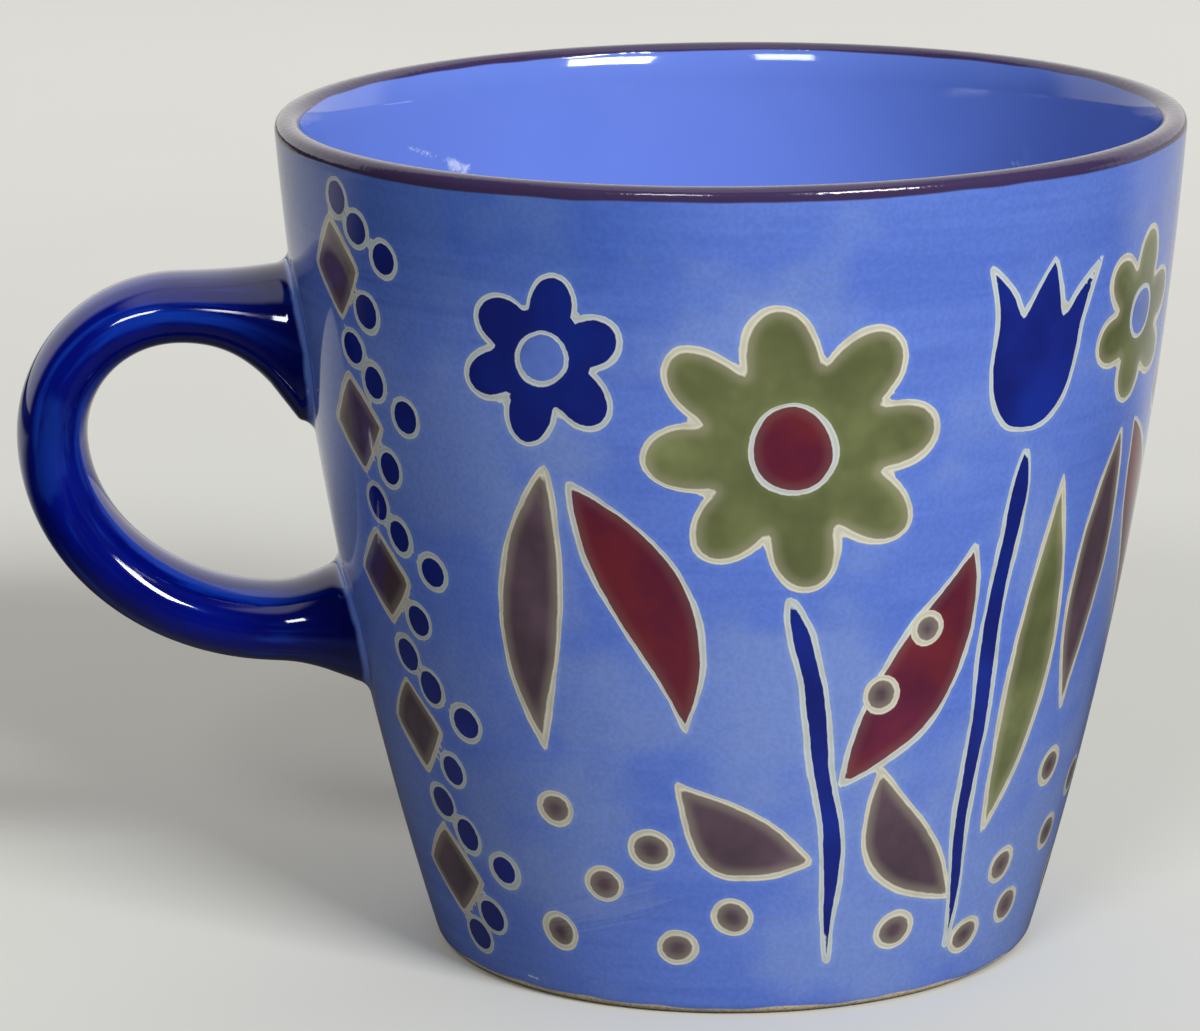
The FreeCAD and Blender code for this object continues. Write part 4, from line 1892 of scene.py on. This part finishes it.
@dataclass
class Cup:
    """The turned cup with its painted pattern."""

    line: CupLine
    segments: int = 468
    wall_rows: int = 124
    seam_turn: float = -90.0
    off_sheet: float = -400.0

    touching: ClassVar[float] = 2e-5
    weld: ClassVar[float] = 1e-5

    def profile(self) -> Thing:
        """The line that is turned, with the distance from the crest and the height on the sheet.

        Returns:
            The line, as an object.
        """
        line = self.line
        inner = np.concatenate([line.inside(), line.lip()])
        points = np.concatenate([inner, line.outside(self.wall_rows), line.foot()])
        step = np.hypot(np.diff(points[:, 0]), np.diff(points[:, 1]))
        arcs = np.concatenate([[0], np.cumsum(step)])
        painted = (np.arange(len(points)) >= len(inner)) & (points[:, 1] > line.foot_rounding)
        sheet = np.where(painted, line.sheet_height(points[:, 1]), self.off_sheet)
        mesh = bpy.data.meshes.new("turning line")
        places = [(float(radius) * MM, 0.0, float(level) * MM) for radius, level in points]
        mesh.from_pydata(places, [(i, i + 1) for i in range(len(points) - 1)], [])
        keep_values(mesh, "lip_arc", arcs - arcs[int(np.argmax(points[:, 1]))])
        keep_values(mesh, "sheet_height", sheet * MM)
        log.info("turning line: %d points", len(points))
        return new_object("turning line", mesh)

    def layer(
        self, graph: MeshGraph, geometry: Socket, name: str, sheet: Socket, place: Socket,
        scale: Socket,
    ) -> Socket:
        """Stores how far each point is from a sheet's shapes, and the paint of the nearest one.

        Args:
            graph: the cup's graph.
            geometry: the mesh that gets the values.
            name: the layer's name.
            sheet: the flat shapes.
            place: where each point lies on the sheet.
            scale: what turns a distance on the sheet into millimetres on the wall.

        Returns:
            The mesh with the values.
        """
        spot = {"Geometry": sheet, "Sample Position": place}
        gaps = [
            graph.out(graph.node("GeometryNodeProximity", spot, target_element=part), "Distance")
            for part in ("EDGES", "FACES")
        ]
        side = graph.scaled(graph.math("GREATER_THAN", gaps[1], self.touching), 2.0, -1.0)
        edge = graph.times(graph.times(gaps[0], side), scale)
        geometry = graph.keep(geometry, f"edge_{name}", edge)
        paint = graph.node("GeometryNodeSampleNearestSurface", {
            "Mesh": sheet, "Value": graph.kept("paint", "FLOAT_COLOR"), "Sample Position": place,
        }, data_type="FLOAT_COLOR")
        return graph.keep(geometry, f"paint_{name}", graph.out(paint), "FLOAT_COLOR")

    def tree(self) -> Tree:
        """The tree that turns the profile and carries the flat pattern onto the wall.

        Returns:
            The geometry tree.
        """
        things = ("Profile", "Low Sheet", "Border Sheet", "High Sheet", "Handle")
        takes = {"Geometry": "Geometry"} | dict.fromkeys(things, "Object")
        takes |= {"Segments": "Int", "Sheet Radius": "Float", "Seam Turn": "Float"}
        takes |= {"Glaze": "Material"}
        graph, given, result = MeshGraph.open("turned cup", takes, {"Geometry": "Geometry"})
        profile, low, border, high, handle = (graph.shape_of(given[name]) for name in things)
        counted = {"Geometry": profile}
        size = graph.node("GeometryNodeAttributeDomainSize", counted, component="MESH")
        rows = graph.out(size, "Point Count")
        grid = graph.out(graph.node("GeometryNodeMeshGrid", {
            "Size X": 1.0, "Size Y": 1.0,
            "Vertices X": graph.plus(given["Segments"], 1.0), "Vertices Y": rows,
        }))
        across, up, _ = graph.parts(graph.position())
        row = graph.math("ROUND", graph.times(graph.plus(up, 0.5), graph.minus(rows, 1.0)))
        turn = graph.scaled(graph.plus(across, 0.5), 2 * math.pi, given["Seam Turn"])
        lip_arc, sheet_height = (
            graph.read_at(profile, graph.kept(name), row, "FLOAT")
            for name in ("lip_arc", "sheet_height")
        )
        there = graph.read_at(profile, graph.position(), row, "FLOAT_VECTOR")
        radius, _, level = graph.parts(there)
        geometry = graph.keep(grid, "lip_arc", lip_arc)
        place = graph.vector(graph.times(turn, given["Sheet Radius"]), sheet_height, 0.0)
        scale = graph.math("DIVIDE", graph.times(radius, 1 / MM), given["Sheet Radius"])
        for name, sheet in (("low", graph.joined([low, border])), ("high", high)):
            geometry = self.layer(graph, geometry, name, sheet, place, scale)
        forward = graph.times(graph.times(radius, graph.math("COSINE", turn)), -1.0)
        turned = graph.vector(graph.times(radius, graph.math("SINE", turn)), forward, level)
        geometry = graph.moved(geometry, turned)
        near = graph.node("GeometryNodeProximity", {"Geometry": handle}, target_element="FACES")
        gap = graph.times(graph.out(near, "Distance"), 1 / MM)
        welded = {"Geometry": graph.keep(geometry, "root_gap", gap), "Distance": self.weld}
        closed = graph.node("GeometryNodeMergeByDistance", welded)
        smooth = graph.node("GeometryNodeSetShadeSmooth", {"Geometry": graph.out(closed)})
        graph.finish(result, graph.out(smooth), given["Glaze"])
        return graph.tree

    def build(
        self, low: Thing, border: Thing, high: Thing, handle: Thing, finish: Material
    ) -> Thing:
        """Turns the cup with its pattern and dresses it.

        Args:
            low, border, high: the flat sheets, first painted first.
            handle: the handle, near which the glaze darkens.
            finish: the glaze.

        Returns:
            The cup.
        """
        profile = self.profile()
        holder = new_object("cup blank", bpy.data.meshes.new("cup blank"))
        run_tree(holder, self.tree(), {
            "Profile": profile, "Low Sheet": low, "Border Sheet": border, "High Sheet": high,
            "Handle": handle, "Segments": self.segments,
            "Sheet Radius": self.line.sheet_radius * MM,
            "Seam Turn": math.radians(self.seam_turn), "Glaze": finish,
        })
        mesh = evaluated_mesh(holder, "cup")
        face_outwards(mesh)
        drop([holder, profile])
        log.info("cup: %d faces", len(mesh.polygons))
        return new_object("cup", mesh)


# The studio


@dataclass(frozen=True)
class PalePaper:
    """The table's plain pale paper, in metres. Light it bounces onto the mug is dimmed, and the
    mug's gloss sees it dark in front and beside.
    """

    light: Colour = linear(224, 223, 218)
    shade: Colour = linear(219, 218, 213)
    mottle_scale: float = 9.0
    roughness: float = 0.9
    sheen: float = 0.1
    dark: Colour = linear(12, 12, 14)
    front: Ramp = Ramp(0.06, 0.2, 1.0, 0.0)
    side: Ramp = Ramp(-0.5, -0.3, 1.0, 0.0)
    foot: Ramp = Ramp(0.07, 0.14, 0.86, 1.0)
    unseen_share: float = 0.72
    glow: Colour = linear(250, 248, 243)
    far_glow: Ramp = Ramp(0.0, 0.7, 0.0, 0.2)

    def build(self, name: str) -> Material:
        """Builds the material.

        Args:
            name: the material's name.

        Returns:
            The material.
        """
        material, graph, shader = open_material(name)
        shader.inputs["Roughness"].default_value = self.roughness
        shader.inputs["Specular IOR Level"].default_value = self.sheen
        place = graph.out(graph.node("ShaderNodeTexCoord"), "Object")
        x, y, _ = graph.parts(place)
        path = graph.node("ShaderNodeLightPath")
        mirrored, camera = graph.out(path, "Is Glossy Ray"), graph.out(path, "Is Camera Ray")
        around = graph.math("MAXIMUM", graph.step(y, *self.front), graph.step(x, *self.side))
        near = graph.times(around, graph.step(graph.measure("LENGTH", place), *self.foot))
        # Painted shade: rays that are neither glossy nor from the camera see the paper darker,
        # which dims the light it bounces onto the mug.
        unseen = graph.minus(1.0, graph.math("MAXIMUM", mirrored, camera))
        dark = graph.scaled(unseen, self.unseen_share, graph.times(near, mirrored))
        mottled = graph.mix(graph.noise(place, self.mottle_scale, 2.0), self.light, self.shade)
        graph.feed(shader, "Base Color", graph.mix(dark, mottled, self.dark))
        shader.inputs["Emission Color"].default_value = self.glow
        graph.feed(shader, "Emission Strength", graph.times(graph.step(y, *self.far_glow), camera))
        material.cycles.emission_sampling = "NONE"
        return material


@dataclass(frozen=True)
class Room:
    """The dim room in front, the pale paper behind, and the pale ceiling.

    Each step reads how far a direction points back or up, from 0 to 1.
    """

    white: Colour = linear(255, 253, 248)
    seen: float = 0.72
    mirrored_paper: Ramp = Ramp(0.22, 0.45)
    mirrored_ceiling: Ramp = Ramp(0.84, 0.95)
    mirrored_least: float = 0.015
    paper_light: Ramp = Ramp(0.3, 0.75, 0.0, 0.75)
    ceiling_light: Ramp = Ramp(0.45, 0.85, 0.02, 0.4)

    def build(self, name: str) -> None:
        """Builds the room as the world's light and reflection.

        Args:
            name: the world's name.
        """
        world = bpy.data.worlds.new(name)
        bpy.context.scene.world = world
        world.use_nodes = True
        graph = Graph(world.node_tree)
        backdrop = world.node_tree.nodes["Background"]
        _, back, up = graph.parts(graph.out(graph.node("ShaderNodeTexCoord"), "Generated"))
        path = graph.node("ShaderNodeLightPath")
        mirrored = graph.out(path, "Is Glossy Ray")
        paper = graph.step(back, *self.mirrored_paper)
        pale = graph.math("MAXIMUM", paper, graph.step(up, *self.mirrored_ceiling))
        lit = graph.plus(graph.step(back, *self.paper_light), graph.step(up, *self.ceiling_light))
        unmirrored = graph.times(lit, graph.minus(1.0, mirrored))
        light = graph.scaled(graph.plus(pale, self.mirrored_least), mirrored, unmirrored)
        seen = graph.times(graph.out(path, "Is Camera Ray"), self.seen)
        backdrop.inputs["Color"].default_value = self.white
        graph.feed(backdrop, "Strength", graph.math("MAXIMUM", light, seen))


@dataclass(frozen=True)
class Lamp:
    """A strip lamp that faces the mug.

    turn is degrees from the front towards the right, rise is degrees above the table, and the
    strip's sides are metres.
    """

    name: str
    turn: float
    rise: float
    wide: float
    tall: float
    power: float
    colour: Triple = (0.97, 0.99, 1.0)

    def hang(self, focus: Vector, distance: float) -> None:
        """Hangs the lamp.

        Args:
            focus: the place that it faces.
            distance: how far from that place it hangs.
        """
        data = bpy.data.lights.new(self.name, "AREA")
        data.shape, data.size, data.size_y = "RECTANGLE", self.wide, self.tall
        data.energy, data.color = self.power, self.colour
        lamp = bpy.data.objects.new(self.name, data)
        turn, rise = math.radians(self.turn), math.radians(self.rise)
        level = math.cos(rise)
        away = Vector((level * math.sin(turn), -level * math.cos(turn), math.sin(rise)))
        lamp.location = focus + away * distance
        lamp.rotation_euler = away.to_track_quat("Z", "Y").to_euler()
        bpy.context.scene.collection.objects.link(lamp)


@dataclass(frozen=True)
class Studio:
    """The pale table, two strip lamps and a dim room, and the photograph's camera, in metres."""

    focus: Triple = (0.0, 0.0, 0.05)
    lamp_distance: float = 3.0
    lamps: tuple[Lamp, ...] = (
        Lamp("left strip", -20.5, 33, 0.8, 0.42, 21.0),
        Lamp("right strip", 32.2, 31, 1.2, 0.48, 81.0),
    )
    table_half: float = 3.0
    lens: float = 167.13
    sensor: float = 36.0
    clip: Pair = (0.01, 20.0)
    camera_place: Triple = (-0.042264, -0.604409, 0.1929)
    camera_right: Triple = (0.99880637, -0.04784732, -0.00982152)
    camera_up: Triple = (0.02069587, 0.23242191, 0.97239485)
    camera_forward: Triple = (0.04424375, 0.97143743, -0.23313473)

    def table(self) -> Thing:
        """The seamless pale table.

        Returns:
            The table.
        """
        half = self.table_half
        mesh = bpy.data.meshes.new("table")
        corners = [(x * half, y * half, 0.0) for x, y in ((-1, -1), (1, -1), (1, 1), (-1, 1))]
        mesh.from_pydata(corners, [], [(0, 1, 2, 3)])
        mesh.materials.append(PalePaper().build("pale paper"))
        table = new_object("table", mesh)
        return table

    def camera(self) -> None:
        """The camera at the photograph's place and angle."""
        data = bpy.data.cameras.new("camera")
        data.sensor_width, data.lens, data.sensor_fit = self.sensor, self.lens, "HORIZONTAL"
        data.clip_start, data.clip_end = self.clip
        camera = bpy.data.objects.new("camera", data)
        axes = (Vector(self.camera_right), Vector(self.camera_up), -Vector(self.camera_forward))
        turn = Matrix(axes).transposed().to_4x4()
        camera.matrix_world = Matrix.Translation(self.camera_place) @ turn
        bpy.context.scene.collection.objects.link(camera)
        bpy.context.scene.camera = camera

    def build(self) -> None:
        """Sets up the whole studio."""
        self.table()
        for lamp in self.lamps:
            lamp.hang(Vector(self.focus), self.lamp_distance)
        Room().build("room")
        self.camera()
        bpy.context.scene.view_settings.view_transform = "Standard"
        log.info("studio: table, two lamps, room and camera")


def main() -> None:
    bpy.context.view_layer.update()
    brushed, shape = BrushMarks().group(), ResistPainting().group()
    line = CupLine()
    painted = PaintedGlaze().build("painted glaze", brushed, shape)
    cobalt = CobaltGlaze().build("cobalt glaze", brushed)
    handle = Handle(LoopLine(line)).build(cobalt)
    sheet = PatternSheet(line)
    low, high = sheet.layout()
    low_sheet = sheet.build_motifs("low sheet", low)
    high_sheet = sheet.build_motifs("high sheet", high)
    border = sheet.build_border(painted)
    log.info("pattern: %d shapes below, %d above", len(low), len(high))
    cup = Cup(line).build(low_sheet, border, high_sheet, handle, painted)
    drop(sheet.made)
    for piece in (cup, handle):
        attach(piece, BODY)
        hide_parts(NODE)
        log.info("%s: %d points", piece.name, len(piece.data.vertices))
    Studio().build()


if __name__ == "__main__":
    logging.basicConfig(level=logging.INFO, format="%(name)s %(message)s")
    main()
